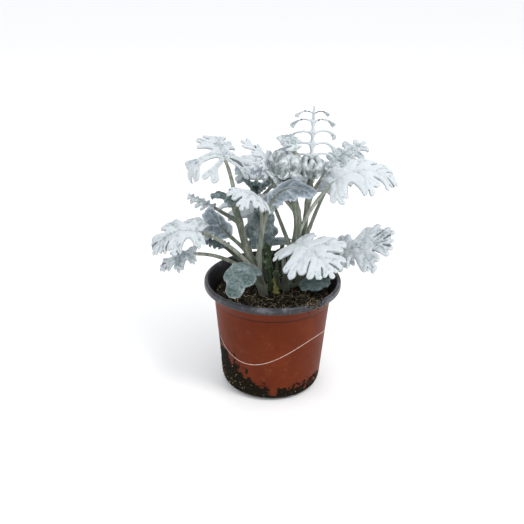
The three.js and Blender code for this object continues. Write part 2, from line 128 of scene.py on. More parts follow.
# %% New finish and the floor's
def new_finish(name, roughness, sheen=0.0, specular=0.5):
    finish = bpy.data.materials.new(name)
    finish.use_nodes = True
    shader = finish.node_tree.nodes["Principled BSDF"]
    shader.inputs["Roughness"].default_value = roughness
    shader.inputs["Specular IOR Level"].default_value = specular
    shader.inputs["Sheen Weight"].default_value = sheen
    return finish


floor_finish = new_finish("pale floor", 0.9, specular=0.2)
floor_shader = floor_finish.node_tree.nodes["Principled BSDF"]
floor_shader.inputs["Base Color"].default_value = (0.96, 0.96, 0.96, 1)
floor.data.materials.append(floor_finish)
print("finishes so far:", len(bpy.data.materials))

# %% [markdown]
# ## Point lists to pieces
#
# A leaf has thousands of points that follow from a formula, so the pieces are worked out as arrays
# and handed to Blender at the end. A piece may be made of several parts, such as a blade and its
# stalk, and each part says which finish it wears and what its points know. The last helper is a
# smooth noise that keeps every shape from being too regular.

# %% Helpers for pieces
def part(points, triangles, finish=0, **knowledge):
    count = len(points)
    facts = {key: np.broadcast_to(np.asarray(value, float), count) for key, value in knowledge.items()}
    return {"points": np.asarray(points, float), "triangles": np.asarray(triangles, int),
            "finish": np.broadcast_to(finish, len(triangles)), "facts": facts}


def make_piece(name, parts, finishes, nodes=()):
    sizes = [len(p["points"]) for p in parts]
    starts = np.concatenate([[0], np.cumsum(sizes)[:-1]])
    points = np.concatenate([p["points"] for p in parts]) * MM
    triangles = np.concatenate([p["triangles"] + start for p, start in zip(parts, starts)])
    mesh = bpy.data.meshes.new(name)
    mesh.from_pydata(points.tolist(), [], triangles.tolist())
    for finish in finishes:
        mesh.materials.append(finish)
    mesh.polygons.foreach_set("material_index", np.concatenate([p["finish"] for p in parts]))
    mesh.polygons.foreach_set("use_smooth", np.ones(len(triangles), bool))
    for key in sorted({key for p in parts for key in p["facts"]}):
        values = [p["facts"].get(key, np.zeros(size)) for p, size in zip(parts, sizes)]
        layer = mesh.attributes.new(key, "FLOAT", "POINT")
        layer.data.foreach_set("value", np.concatenate(values))
    piece = bpy.data.objects.new(name, mesh)
    bpy.context.scene.collection.objects.link(piece)
    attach(piece, "root")
    if nodes:
        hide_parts(*nodes)
    return piece


def ripple(points, size, seed):
    """A smooth, random value between about -1 and 1 at each point, with waves of that size."""
    chance = np.random.default_rng(seed)
    total = np.zeros(len(points))
    for _ in range(6):
        heading = chance.normal(size=points.shape[1])
        heading /= np.linalg.norm(heading)
        wave = 2 * math.pi / (size * chance.uniform(0.7, 1.5))
        total += np.sin(points @ heading * wave + chance.uniform(0, 2 * math.pi))
    return total / 3.2


trial = ripple(np.linspace(0, 100, 200)[:, None], 10, 0)
print("a ripple runs from", round(trial.min(), 2), "to", round(trial.max(), 2))

# %% [markdown]
# ## The nursery pot
#
# The real pot is vacuum-formed from a sheet with two colours: terracotta outside, dark grey inside.
# The grey also shows on the rolled rim. The wall is little more than a millimetre thick, so the pot
# is turned from one closed profile of its outside and inside. Corners are rounded before turning,
# because every edge of a formed sheet is soft, and a rounded edge catches a line of light.

# %% The pot's profile
POT = dict(height=88, rim=52.5, lip_height=5.5, lip_width=3.3, collar=48.8, crease=45.4,
           crease_height=74.5, crease_step=0.9, foot=38.6, foot_height=6, base=33.5, wall=1.2)


def rounded(corners):
    """A profile whose corners, given as (radius from the axis, height, rounding), are arcs."""
    smooth = []
    for k, (r, z, rounding) in enumerate(corners):
        if rounding == 0:
            smooth.append((r, z))
            continue
        here = Vector((r, z))
        before = Vector(corners[k - 1][:2]) - here
        after = Vector(corners[k + 1][:2]) - here
        start = here + before.normalized() * min(rounding, before.length * 0.45)
        end = here + after.normalized() * min(rounding, after.length * 0.45)
        for share in np.linspace(0, 1, 6):
            bend = start * (1 - share) ** 2 + here * 2 * share * (1 - share) + end * share ** 2
            smooth.append((bend.x, bend.y))
    return smooth


def divided(profile, longest):
    """The same profile with points added so that no stretch is longer than longest."""
    stops = [profile[0]]
    for start, end in zip(profile, profile[1:]):
        pieces = max(1, math.ceil(math.dist(start, end) / longest))
        for k in range(1, pieces + 1):
            share = k / pieces
            stops.append(tuple(a + (b - a) * share for a, b in zip(start, end)))
    return stops


TOP, RIM, WALL = POT["height"], POT["rim"], POT["wall"]
LIP = TOP - POT["lip_height"]
FOOT, FOOT_HEIGHT = POT["foot"], POT["foot_height"]
CREASE, CREASE_HEIGHT = POT["crease"], POT["crease_height"]
UNDER_CREASE = CREASE - POT["crease_step"]

outside = [(0, 0.5, 0), (26.5, 0.5, 0.6), (28, 0, 0.6), (POT["base"], 0, 1.2), (FOOT - 1.2, 2.6, 2.5),
           (FOOT, FOOT_HEIGHT, 3), (UNDER_CREASE, CREASE_HEIGHT - 1.6, 0.8),
           (CREASE, CREASE_HEIGHT - 0.3, 0.5), (POT["collar"], LIP + 0.5, 0.6)]
rim = [(RIM - 0.6, LIP, 0.8), (RIM, LIP + 1, 0.8), (RIM - 0.15, TOP - 0.9, 1), (RIM - 1.2, TOP, 0.8),
       (RIM - 2.5, TOP - 0.2, 0.6), (RIM - POT["lip_width"], TOP - 1.2, 0.8)]
inside = [(POT["collar"] - WALL, LIP, 0.8), (CREASE - WALL, CREASE_HEIGHT, 0.6),
          (UNDER_CREASE - WALL, CREASE_HEIGHT - 1.9, 0.5), (FOOT - WALL, FOOT_HEIGHT + 0.3, 2),
          (POT["base"] - 0.6, 1.6, 1), (0, 1.6, 0)]
pot_profile = divided(rounded(outside + rim + inside), 2.5)
lip_start = next(k for k, (r, z) in enumerate(pot_profile)
                 if z > LIP - 0.2 and r > POT["collar"] + 0.8)
print("profile points:", len(pot_profile), "grey from point", lip_start)

# %% [markdown]
# The profile is turned in 176 steps. Blender's Screw modifier would do it too, but here each triangle
# also has to know its ring, which says where the grey plastic starts. A pot this thin is never quite
# round, so it is pressed slightly oval and gets shallow dents, the same inside and outside.

# %% Turn the pot
def turned(profile, turns):
    """A profile turned round the axis, as points, triangles and the ring of each triangle."""
    angle = np.linspace(0, 2 * math.pi, turns, endpoint=False)
    rings = profile[1:-1]
    points = [(r * math.cos(a), r * math.sin(a), z) for r, z in rings for a in angle]
    points += [(0, 0, profile[0][1]), (0, 0, profile[-1][1])]
    near = np.arange(turns)
    far = (near + 1) % turns
    triangles, ring_of = [], []
    for k in range(len(rings) - 1):
        a, b = k * turns + near, k * turns + far
        triangles += [np.stack([a, b, b + turns], 1), np.stack([a, b + turns, a + turns], 1)]
        ring_of += [k] * (2 * turns)
    low, high = len(points) - 2, len(points) - 1
    end = (len(rings) - 1) * turns
    triangles.append(np.stack([np.full(turns, low), far, near], 1))
    triangles.append(np.stack([np.full(turns, high), end + near, end + far], 1))
    ring_of += [0] * turns + [len(rings)] * turns
    return np.array(points, float), np.concatenate(triangles), np.array(ring_of)


def pot_dent(points):
    """How far the wall is pressed in or out, in mm: nothing at the base, most in the wall."""
    angle = np.arctan2(points[:, 1], points[:, 0])
    height = points[:, 2] / TOP
    give = np.clip(height * 4, 0, 1) * (1 - 0.45 * np.clip(height * 8 - 7, 0, 1))
    round_it = np.stack([np.cos(angle), np.sin(angle), height * 1.6], 1)
    return give * (0.28 * np.sin(2 * angle + 0.6) + 0.22 * ripple(round_it, 2.1, 5))


pot_points, pot_triangles, ring_of = turned(pot_profile, 176)
from_axis = np.hypot(pot_points[:, 0], pot_points[:, 1])
press = 1 + pot_dent(pot_points) / np.maximum(from_axis, 20)
pot_points[:, :2] *= press[:, None]
terracotta = new_finish("terracotta plastic", 0.5, specular=0.08)
rim_grey = new_finish("dark grey plastic", 0.32, specular=0.4)
is_grey = (ring_of >= lip_start - 2).astype(int)
pot = make_piece("nursery_pot", [part(pot_points, pot_triangles, is_grey)], [terracotta, rim_grey],
                 ["pot"])
print("pot triangles:", len(pot.data.polygons))

# %% [markdown]
# Water runs out through a ring of holes in the base. They are cut with a boolean, which keeps their
# edges sharp as a punch does. All the punches are joined first, so that one cut makes all the holes.

# %% Punch the drain holes
DRAIN_HOLES = 8
DRAIN_RADIUS = 4 * MM
DRAIN_FROM_AXIS = 24 * MM

punches = []
for k in range(DRAIN_HOLES):
    turn = 2 * math.pi * (k + 0.5) / DRAIN_HOLES
    spot = (DRAIN_FROM_AXIS * math.cos(turn), DRAIN_FROM_AXIS * math.sin(turn), 0)
    bpy.ops.mesh.primitive_cylinder_add(vertices=28, radius=DRAIN_RADIUS, depth=8 * MM,
                                        location=spot)
    punches.append(bpy.context.object)
for punch in punches:
    punch.select_set(True)
bpy.context.view_layer.objects.active = punches[0]
bpy.ops.object.join()
punch = bpy.context.object
cut = pot.modifiers.new("drain holes", "BOOLEAN")
cut.object = punch
cut.operation = "DIFFERENCE"
cut.solver = "EXACT"
punched = bpy.data.meshes.new_from_object(pot.evaluated_get(bpy.context.evaluated_depsgraph_get()))
pot.modifiers.clear()
pot.data = punched
bpy.data.objects.remove(punch)
print("pot faces with its holes:", len(pot.data.polygons))

# %% [markdown]
# ## Finishes out of nodes
#
# Every finish is procedural: noise in the object's own space, mixed with what the mesh knows about
# itself. Painted textures would need unwrapping every leaf, and noise does the same job at any size.
# A few short helpers keep the node trees readable. The terracotta comes first: a dull red-brown that
# is a little uneven, with paler dust in patches.

# %% Helpers for nodes and the bare terracotta
def add_node(finish, kind, **settings):
    node = finish.node_tree.nodes.new(kind)
    for key, value in settings.items():
        if key in node.inputs:
            node.inputs[key].default_value = value
        else:
            setattr(node, key, value)
    return node


def join(finish, source, target):
    finish.node_tree.links.new(source, target)


def object_place(finish):
    return add_node(finish, "ShaderNodeTexCoord").outputs["Object"]


def noise_of(finish, scale, detail=3.0, rough=0.6, squeeze_by=(1, 1, 1)):
    grain = add_node(finish, "ShaderNodeTexNoise", Scale=scale, Detail=detail, Roughness=rough)
    squeeze = add_node(finish, "ShaderNodeMapping", Scale=squeeze_by)
    join(finish, object_place(finish), squeeze.inputs["Vector"])
    join(finish, squeeze.outputs["Vector"], grain.inputs["Vector"])
    return grain.outputs["Fac"]


def step_up(finish, value, low, high):
    """0 below low, 1 above high, and a soft step between."""
    node = add_node(finish, "ShaderNodeMapRange", interpolation_type="SMOOTHSTEP")
    node.inputs["From Min"].default_value = low
    node.inputs["From Max"].default_value = high
    join(finish, value, node.inputs["Value"])
    return node.outputs["Result"]


def two_tone(finish, share, first, second):
    """The first colour where the share is 0, the second where it is 1."""
    node = add_node(finish, "ShaderNodeMix", data_type="RGBA")
    join(finish, share, node.inputs["Factor"])
    for socket, value in zip((node.inputs[6], node.inputs[7]), (first, second)):
        if isinstance(value, tuple):
            socket.default_value = (*value, 1)
        else:
            join(finish, value, socket)
    return node.outputs[2]


plain = two_tone(terracotta, step_up(terracotta, noise_of(terracotta, 38, 4), 0.35, 0.7),
                 (0.106, 0.0170, 0.0042), (0.133, 0.0240, 0.0062))
dusty = two_tone(terracotta, step_up(terracotta, noise_of(terracotta, 160, 5, 0.7), 0.52, 0.9),
                 plain, (0.172, 0.050, 0.022))
print("nodes in the bare terracotta:", len(terracotta.node_tree.nodes))

# %% [markdown]
# Wet soil has dried on the wall: a thick black smear low on one side, a band round the foot, and
# specks above. The soil could be painted, but a mask of the height on the wall, pushed up and down
# by noise, gives the same ragged edge at any size. It leans to one side by adding how far a point
# lies to that side.

# %% Mask of the dried soil
def object_axes(finish):
    split = add_node(finish, "ShaderNodeSeparateXYZ")
    join(finish, object_place(finish), split.inputs["Vector"])
    return split.outputs


def maths(finish, operation, a, b=0.0):
    node = add_node(finish, "ShaderNodeMath", operation=operation)
    for socket, value in zip(node.inputs, (a, b)):
        if isinstance(value, (int, float)):
            socket.default_value = value
        else:
            join(finish, value, socket)
    return node.outputs["Value"]


def swing(finish, amount, scale, detail, rough, squeeze_by=(1, 1, 1)):
    """Noise that goes below zero as often as above it, over that amount in all."""
    centred = maths(finish, "SUBTRACT", noise_of(finish, scale, detail, rough, squeeze_by), 0.5)
    return maths(finish, "MULTIPLY", centred, amount)


def rest_of(finish, share):
    return maths(finish, "SUBTRACT", 1.0, share)


def dried_soil(finish, reach):
    """How much soil lies on the wall, 0 to 1: it fades out at about that height in metres."""
    axes = object_axes(finish)
    lean = maths(finish, "MULTIPLY", maths(finish, "ADD", axes["X"], 0.008), -0.68)
    lean = maths(finish, "MAXIMUM", lean, -0.0055)
    back = maths(finish, "MULTIPLY", axes["Y"], 0.12)
    height = maths(finish, "SUBTRACT", maths(finish, "SUBTRACT", axes["Z"], lean), back)
    edge = maths(finish, "ADD", height, swing(finish, 0.062, 120, 7, 0.68))
    cover = rest_of(finish, step_up(finish, edge, reach - 0.002, reach + 0.002))
    specks = step_up(finish, noise_of(finish, 460, 4, 0.7), 0.64, 0.68)
    near = rest_of(finish, step_up(finish, height, reach - 0.002, reach + 0.045))
    return maths(finish, "MAXIMUM", cover, maths(finish, "MULTIPLY", specks, near))


soil_on_wall = dried_soil(terracotta, 0.0195)
print("nodes with the mask:", len(terracotta.node_tree.nodes))

# %% [markdown]
# The crust is black with a little moss. Under the shoulder a dark line of painted shade lies in the
# fold, where the wall steps in. The colour is put together from the bottom up, dust, fold shade and
# crust, and where there is soil the skin loses its satin shine.

# %% Terracotta put together
FOLD_HEIGHT = 0.0732


def colour_and_bump(finish, colour, height, strength, distance):
    shader = finish.node_tree.nodes["Principled BSDF"]
    join(finish, colour, shader.inputs["Base Color"])
    bump = add_node(finish, "ShaderNodeBump", Strength=strength, Distance=distance)
    join(finish, height, bump.inputs["Height"])
    join(finish, bump.outputs["Normal"], shader.inputs["Normal"])


from_fold = maths(terracotta, "SUBTRACT", object_axes(terracotta)["Z"], FOLD_HEIGHT)
from_fold = maths(terracotta, "ABSOLUTE", from_fold)
# painted shade: a dark line along the fold under the shoulder, where the wall steps in
fold_shade_mask = rest_of(terracotta, step_up(terracotta, from_fold, 0.0003, 0.0009))
with_fold_shade = two_tone(terracotta, maths(terracotta, "MULTIPLY", fold_shade_mask, 0.85), dusty, (0.016, 0.006, 0.004))
crust = two_tone(terracotta, noise_of(terracotta, 700, 4, 0.7),
                 (0.0025, 0.002, 0.0012), (0.014, 0.010, 0.005))
moss = step_up(terracotta, noise_of(terracotta, 520, 3, 0.6), 0.62, 0.70)
crust = two_tone(terracotta, moss, crust, (0.034, 0.030, 0.010))
grain = maths(terracotta, "ADD", maths(terracotta, "MULTIPLY", noise_of(terracotta, 900, 3), 0.12),
              maths(terracotta, "MULTIPLY", soil_on_wall, noise_of(terracotta, 650, 5, 0.75)))
colour_and_bump(terracotta, two_tone(terracotta, soil_on_wall, with_fold_shade, crust), grain, 0.55, 0.0007)
join(terracotta, maths(terracotta, "ADD", 0.46, maths(terracotta, "MULTIPLY", soil_on_wall, 0.45)),
     terracotta.node_tree.nodes["Principled BSDF"].inputs["Roughness"])
print("nodes in the terracotta:", len(terracotta.node_tree.nodes))

# %% [markdown]
# The grey side is glossier. Its rim is paler in patches, partly from scuffs by handling and partly
# as painted highlight streaks, and grime sits in patches. Down inside, below the rim, the wall is
# almost black, so the grey is mixed with a dark tone by height.

# %% Dark grey plastic
# pale patches: scuffs, and painted highlight streaks on the glossy rim
scuffs_and_highlights = step_up(rim_grey, noise_of(rim_grey, 110, 6, 0.72), 0.48, 0.72)
grey = two_tone(rim_grey, scuffs_and_highlights, (0.017, 0.019, 0.025), (0.115, 0.120, 0.137))
# darker towards the bottom, down inside the pot
high_on_rim = step_up(rim_grey, object_axes(rim_grey)["Z"], 0.0815, 0.0865)
grey = two_tone(rim_grey, high_on_rim, (0.009, 0.008, 0.007), grey)
grime = step_up(rim_grey, noise_of(rim_grey, 210, 6, 0.78), 0.58, 0.64)
colour_and_bump(rim_grey, two_tone(rim_grey, grime, grey, (0.022, 0.018, 0.014)),
                noise_of(rim_grey, 800, 4, 0.7), 0.3, 0.0006)
print("nodes in the grey:", len(rim_grey.node_tree.nodes))

# %% [markdown]
# A single pale line is printed round the wall, in a long wave. It could be a pattern in the finish,
# but a line 0.5 mm wide stays crisp only as a shape, so it is a very thin ribbon laid on the wall.

# %% The printed line
def wall_radius(height):
    straight = CREASE_HEIGHT - 1.6 - FOOT_HEIGHT
    return FOOT + (UNDER_CREASE - FOOT) * (height - FOOT_HEIGHT) / straight


def on_wall(turn, height, proud):
    """Points on the wall: turn in degrees from the front, counted towards +X."""
    angle = np.radians(turn) - math.pi / 2
    radius = wall_radius(height)
    bare = np.stack([radius * np.cos(angle), radius * np.sin(angle), height], 1)
    out = (1 + (pot_dent(bare) + proud) / radius)[:, None]
    return bare * np.concatenate([out, out, np.ones_like(out)], 1)


LINE_HEIGHT = 42
WAVE = 9.3
LINE_SECTION = ((-0.27, 0.0), (-0.20, 0.09), (0.20, 0.09), (0.27, 0.0))  # up the wall, proud of it

turns = np.linspace(-108, 252, 472)
wave_height = LINE_HEIGHT - WAVE * np.cos(np.radians(2.25 * (np.minimum(turns, 212) + 28)))
edges = [on_wall(turns, wave_height + up, proud) for up, proud in LINE_SECTION]
line_points = np.stack(edges, 1).reshape(-1, 3)
line_triangles = []
for k in range(len(turns) - 1):
    for side in range(len(LINE_SECTION) - 1):
        a = len(LINE_SECTION) * k + side
        b = a + len(LINE_SECTION)
        line_triangles += [[a, b, b + 1], [a, b + 1, a + 1]]
print_white = new_finish("worn pale print", 0.6)
wear = step_up(print_white, noise_of(print_white, 900, 5, 0.7), 0.50, 0.62)
colour_and_bump(print_white, two_tone(print_white, wear, (0.62, 0.50, 0.47), (0.42, 0.20, 0.15)),
                noise_of(print_white, 1500), 0.1, 0.0002)
make_piece("printed_line", [part(line_points, line_triangles)], [print_white])
print("the line's lowest and highest, in mm:", wave_height.min().round(1), wave_height.max().round(1))

# %% [markdown]
# ## The soil
#
# Potting soil is peat: dark, moist, full of short fibres, and open enough to cast its own shadows.
# One bumpy surface alone looks like melted chocolate. So there are three layers: a surface with
# lumps of two sizes, loose crumbs on it, and fibres that lie across everything.

# %% Soil surface
SOIL_LEVEL = 76
SOIL_RADIUS = 43.4


def soil_height(x, y):
    """The soil is heaped up a little in the middle, with lumps and finer grain."""
    reach = UNDER_CREASE - WALL - 0.3
    share = 1 - np.minimum(1, np.hypot(x, y) / reach)
    lump = np.sin(0.55 * x + 0.8) * np.cos(0.62 * y) + 0.6 * np.sin(0.9 * x - 0.7 * y)
    flat = np.stack([x, y], 1)
    fine = 0.55 * ripple(flat, 5.5, 11) + 0.35 * ripple(flat, 2.6, 12) + 0.2 * ripple(flat, 1.3, 13)
    return SOIL_LEVEL + 2.2 * np.sin(share * math.pi / 2) + 0.9 * lump + fine


soil_side = [(0, 1.9), (31.5, 1.9), (36.6, 6.8), (42.6, 72.4), (SOIL_RADIUS, 75.6)]
soil_rings = [(SOIL_RADIUS * (1 - k / 90), SOIL_LEVEL) for k in range(1, 90)]
soil_profile = [*divided(soil_side, 4), *soil_rings, (0, SOIL_LEVEL)]
soil_points, soil_triangles, _ = turned(soil_profile, 200)
on_top = soil_points[:, 2] > 75
soil_points[on_top, 2] = soil_height(*soil_points[on_top, :2].T)
soil_grain = new_finish("moist peat", 0.95, specular=0.25)
patch = step_up(soil_grain, noise_of(soil_grain, 210, 6, 0.7), 0.38, 0.66)
brown = two_tone(soil_grain, patch, (0.006, 0.005, 0.004), (0.030, 0.023, 0.014))
straw = step_up(soil_grain, noise_of(soil_grain, 1300, 3, 0.6), 0.63, 0.72)
colour_and_bump(soil_grain, two_tone(soil_grain, straw, brown, (0.10, 0.080, 0.042)),
                noise_of(soil_grain, 1100, 6, 0.8), 0.9, 0.0012)
print("soil points:", len(soil_points))

# %% [markdown]
# Crumbs are one small lump, squashed, turned and pushed about differently each time. Each keeps a
# number that says how light it is, and the finish reads it, so one finish serves all the crumbs.

# %% Loose crumbs
def of_mesh(finish, attribute):
    return add_node(finish, "ShaderNodeAttribute", attribute_name=attribute).outputs["Fac"]


LOOSE_REACH = 42.5  # just inside the wall
CRUMB_SIZES = (0.45, 0.7, 1.0, 1.6)
SHARE_OF_EACH = (0.4, 0.34, 0.2, 0.06)

ball = bmesh.new()
bmesh.ops.create_icosphere(ball, subdivisions=2, radius=1)
BALL_POINTS = np.array([v.co for v in ball.verts])
BALL_TRIANGLES = np.array([[v.index for v in f.verts] for f in ball.faces])
ball.free()


def crumb(place, size, chance, squash=0.7, finish=0):
    """The ball made lumpy, squashed to two different widths and turned, all by chance."""
    turn = np.linalg.qr(chance.normal(size=(3, 3)))[0]
    if np.linalg.det(turn) < 0:
        turn[:, 0] *= -1
    lump = BALL_POINTS * (1 + 0.28 * ripple(BALL_POINTS, 1.5, chance.integers(1 << 30)))[:, None]
    lump = (lump * [1, chance.uniform(0.6, 0.95), chance.uniform(0.45, squash)]) @ turn.T
    return part(place + size * lump, BALL_TRIANGLES, finish, lightness=chance.uniform(0, 1))


def spot_inside(reach, chance):
    """A place on a disc, as likely in any part of it."""
    away = reach * math.sqrt(chance.uniform(0, 1))
    turn = chance.uniform(0, 2 * math.pi)
    return np.array([away * math.cos(turn), away * math.sin(turn)])


chance = np.random.default_rng(21)
crumbs = []
for _ in range(820):
    spot = spot_inside(LOOSE_REACH, chance)
    size = chance.choice(CRUMB_SIZES, p=SHARE_OF_EACH) * chance.uniform(0.8, 1.25)
    height = soil_height(spot[:1], spot[1:])[0] + 0.25 * size
    crumbs.append(crumb(np.array([*spot, height]), size, chance, finish=1))
crumb_finish = new_finish("loose peat crumbs", 0.95, specular=0.2)
few_are_light = maths(crumb_finish, "POWER", of_mesh(crumb_finish, "lightness"), 3.6)
crumb_colour = two_tone(crumb_finish, few_are_light, (0.007, 0.005, 0.004), (0.33, 0.25, 0.14))
colour_and_bump(crumb_finish, crumb_colour, noise_of(crumb_finish, 1500, 4, 0.7), 0.6, 0.0006)
print("crumbs:", len(crumbs))

# %% [markdown]
# Fibres, stems and stalks are all tubes: rings of points round a line, which may bend, get thinner
# and have a section that isn't round. A curve with a bevel can do much of this too, but it has no
# attributes for the finish to read.

# %% A tube
def tube(centres, side, up, radii, shape=None, sides=16):
    """Rings of points round a line, closed at both ends, as points and triangles."""
    angle = np.linspace(0, 2 * math.pi, sides, endpoint=False)
    shape = np.ones(sides) if shape is None else shape(angle)
    across = (np.cos(angle) * shape)[None, :, None]
    above = (np.sin(angle) * shape)[None, :, None]
    radii = np.asarray(radii, float)[:, None, None]
    rings = centres[:, None] + radii * (across * side[:, None] + above * up[:, None])
    count = len(centres)
    points = np.concatenate([rings.reshape(-1, 3), centres[:1], centres[-1:]])
    near = np.arange(sides)
    far = (near + 1) % sides
    triangles = []
    for ring in range(count - 1):
        a, b = ring * sides + near, ring * sides + far
        triangles += [np.stack([a, b, b + sides], 1), np.stack([a, b + sides, a + sides], 1)]
    first, last = count * sides, count * sides + 1
    end = (count - 1) * sides
    triangles.append(np.stack([np.full(sides, first), far, near], 1))
    triangles.append(np.stack([np.full(sides, last), end + near, end + far], 1))
    return points, np.concatenate(triangles)


straight = np.array([[0.0, 0, 0], [0, 0, 10]])
ahead, leftward = np.array([[1.0, 0, 0]] * 2), np.array([[0, 1.0, 0]] * 2)
trial_points, trial_triangles = tube(straight, ahead, leftward, [1, 1])
print("the shortest tube:", len(trial_points), "points and", len(trial_triangles), "triangles")

# %% [markdown]
# A fibre is a thin tube that wanders: each stretch turns a little from the one before it. It stays
# just over the surface, with one end often lifted.

# %% Fibres
def wandering_line(start, heading, length, chance, lift):
    steps = 9
    stops = [np.array(start, float)]
    for k in range(steps):
        heading += chance.normal(0, 0.32)
        stops.append(stops[-1] + length / steps * np.array([math.cos(heading), math.sin(heading)]))
    flat = np.array(stops)
    height = soil_height(flat[:, 0], flat[:, 1])
    share = np.linspace(0, 1, steps + 1)
    return np.column_stack([flat, height.mean() * 0.35 + height * 0.65 + 0.35 + lift * share ** 2])


def thin_tube(line, radius, sides=5):
    along = np.gradient(line, axis=0)
    side = np.cross(along, [0.1, 0.2, 1.0])
    side /= np.linalg.norm(side, axis=1)[:, None]
    up = np.cross(side, along)
    up /= np.linalg.norm(up, axis=1)[:, None]
    taper = radius * np.linspace(1, 0.45, len(line))
    return tube(line, -side, up, taper, sides=sides)


fibres = []
for _ in range(250):
    start = spot_inside(40, chance)
    length = chance.uniform(4, 17)
    heading = chance.uniform(0, 2 * math.pi)
    lift = chance.uniform(-0.2, 2.2)
    line = wandering_line(start, heading, length, chance, lift)
    far_out = np.hypot(line[:, 0], line[:, 1]) / LOOSE_REACH
    line[:, :2] /= np.maximum(1, far_out)[:, None]
    points, triangles = thin_tube(line, chance.uniform(0.12, 0.26))
    fibres.append(part(points, triangles, 2, lightness=chance.uniform(0, 1) ** 2))
fibre_finish = new_finish("peat fibre", 0.8)
fibre_colour = two_tone(fibre_finish, of_mesh(fibre_finish, "lightness"),
                        (0.034, 0.025, 0.013), (0.50, 0.41, 0.24))
colour_and_bump(fibre_finish, fibre_colour, noise_of(fibre_finish, 2500), 0.3, 0.0002)
soil = make_piece("potting_soil", [part(soil_points, soil_triangles), *crumbs, *fibres],
                  [soil_grain, crumb_finish, fibre_finish], ["soil"])
print("soil triangles:", len(soil.data.polygons))

# %% [markdown]
# ## How a leaf is described
#
# A dusty miller's leaf is a blade cut into pairs of lobes, each ending in round fingers, on a long
# stalk. Each could be modelled by hand, but thirty would take days, so numbers describe them: first
# the stems they grow from, each a line of points with its two radii and the crown at its tip.

# %% Stems
STEMS = {  # line: (x, y) at each of the heights, radii: at the foot and at the tip
    "left": dict(line=[(-5, -10), (-7, -10), (-16, -7), (-22, -3), (-27, 1), (-31, 4)],
                 heights=[60, 80, 104, 120, 138, 147], radii=(3.4, 2.2),
                 crown=dict(leaves=4, rise=72, length=19, arch=125, width=12,
                            first_turn=175, round=360)),
    "middle": dict(line=[(9, 0), (10, 0), (15, 0), (18, 1), (15, 0), (7, -2)],
                   heights=[60, 80, 108, 130, 150, 172], radii=(4, 2.2),
                   crown=dict(leaves=6, rise=14, length=28, arch=-168, width=22,
                              first_turn=225, round=360)),
    "right": dict(line=[(17, 9), (18, 9), (21, 9), (24, 9), (27, 11)],
                  heights=[60, 80, 106, 134, 168], radii=(3, 1.8),
                  crown=dict(leaves=5, rise=18, length=22, arch=-150, width=16,
                             first_turn=200, round=360)),
    "back": dict(line=[(-6, 14), (-7, 16), (-10, 22), (-13, 28), (-13, 30)],
                 heights=[60, 80, 106, 130, 146], radii=(3.2, 2),
                 crown=dict(leaves=3, rise=82, length=18, arch=70, width=12,
                            first_turn=190, round=220)),
}
print("stems:", *STEMS, "tallest in mm:", max(stem["heights"][-1] for stem in STEMS.values()))

# %% [markdown]
# An outline form says how a blade is cut. Each lobe has its place on the midrib, its angle from it,
# its reach as a share of half the width, and its number of fingers. tip is where the last lobe
# starts. cut is how far out the notch between two lobes ends, as a share of the shorter one, and
# roundness is a finger's radius as a share of its lobe. Two forms with thin arms also have a waist,
# from where to where and half how wide, and a hook, the degrees that an arm turns on its way out.

# %% Forms of a blade
FORMS = {
    "broad": dict(lobes=[(0.1, 106, 0.75, 3), (0.36, 62, 1, 3), (0.6, 38, 0.7, 2)],
                  tip=0.66, tip_fingers=3, cut=0.33, roundness=0.14),
    "small": dict(lobes=[(0.1, 84, 0.8, 2), (0.42, 54, 1, 3)],
                  tip=0.6, tip_fingers=3, cut=0.33, roundness=0.14),
    "arms": dict(lobes=[(0.05, 116, 0.62, 2), (0.22, 88, 1.05, 3), (0.5, 52, 0.5, 2),
                        (0.72, 40, 0.32, 1)],
                 tip=0.76, tip_fingers=1, cut=(0.14, 0.34, 0.5, 0.5), roundness=0.12,
                 waist=(0.25, 0.5, 0.08), hook=30),
    "frond": dict(lobes=[(0.03, 62, 0.8, 1), (0.2, 58, 1.02, 1), (0.38, 55, 1.02, 1),
                         (0.56, 52, 0.95, 1), (0.74, 48, 0.82, 1), (0.87, 42, 0.58, 1)],
                  tip=0.93, tip_fingers=1, cut=0.05, roundness=0.135,
                  waist=(0.08, 0.62, 0.035), hook=116),
    "bud": dict(lobes=[(0.2, 74, 0.95, 1), (0.54, 62, 0.9, 1)],
                tip=0.68, tip_fingers=1, cut=0.8, roundness=0.36),
    "young": dict(lobes=[(0.08, 82, 0.8, 1), (0.26, 75, 1, 1), (0.44, 68, 1, 1), (0.62, 60, 0.9, 1),
                         (0.78, 50, 0.7, 1)],
                  tip=0.84, tip_fingers=1, cut=0.3, roundness=0.225),
    "round": dict(lobes=[(0.14, 70, 0.82, 1), (0.42, 48, 1, 1)],
                  tip=0.56, tip_fingers=1, cut=1.12, roundness=0.4),
}
print("forms:", *FORMS)

# %% [markdown]
# Each leaf is one row. It says on which stem and how far up it grows, which way it is turned and how
# steeply it rises, how long stalk and blade are and how far each bends down, how wide the blade is,
# its form, how its sides cup, droop and curl, and how far it is rolled about its stalk. Lengths are
# in millimetres and angles in degrees. The last number is how much felt it wears: the leaves at the
# top are white, those low in the shade are green-grey.

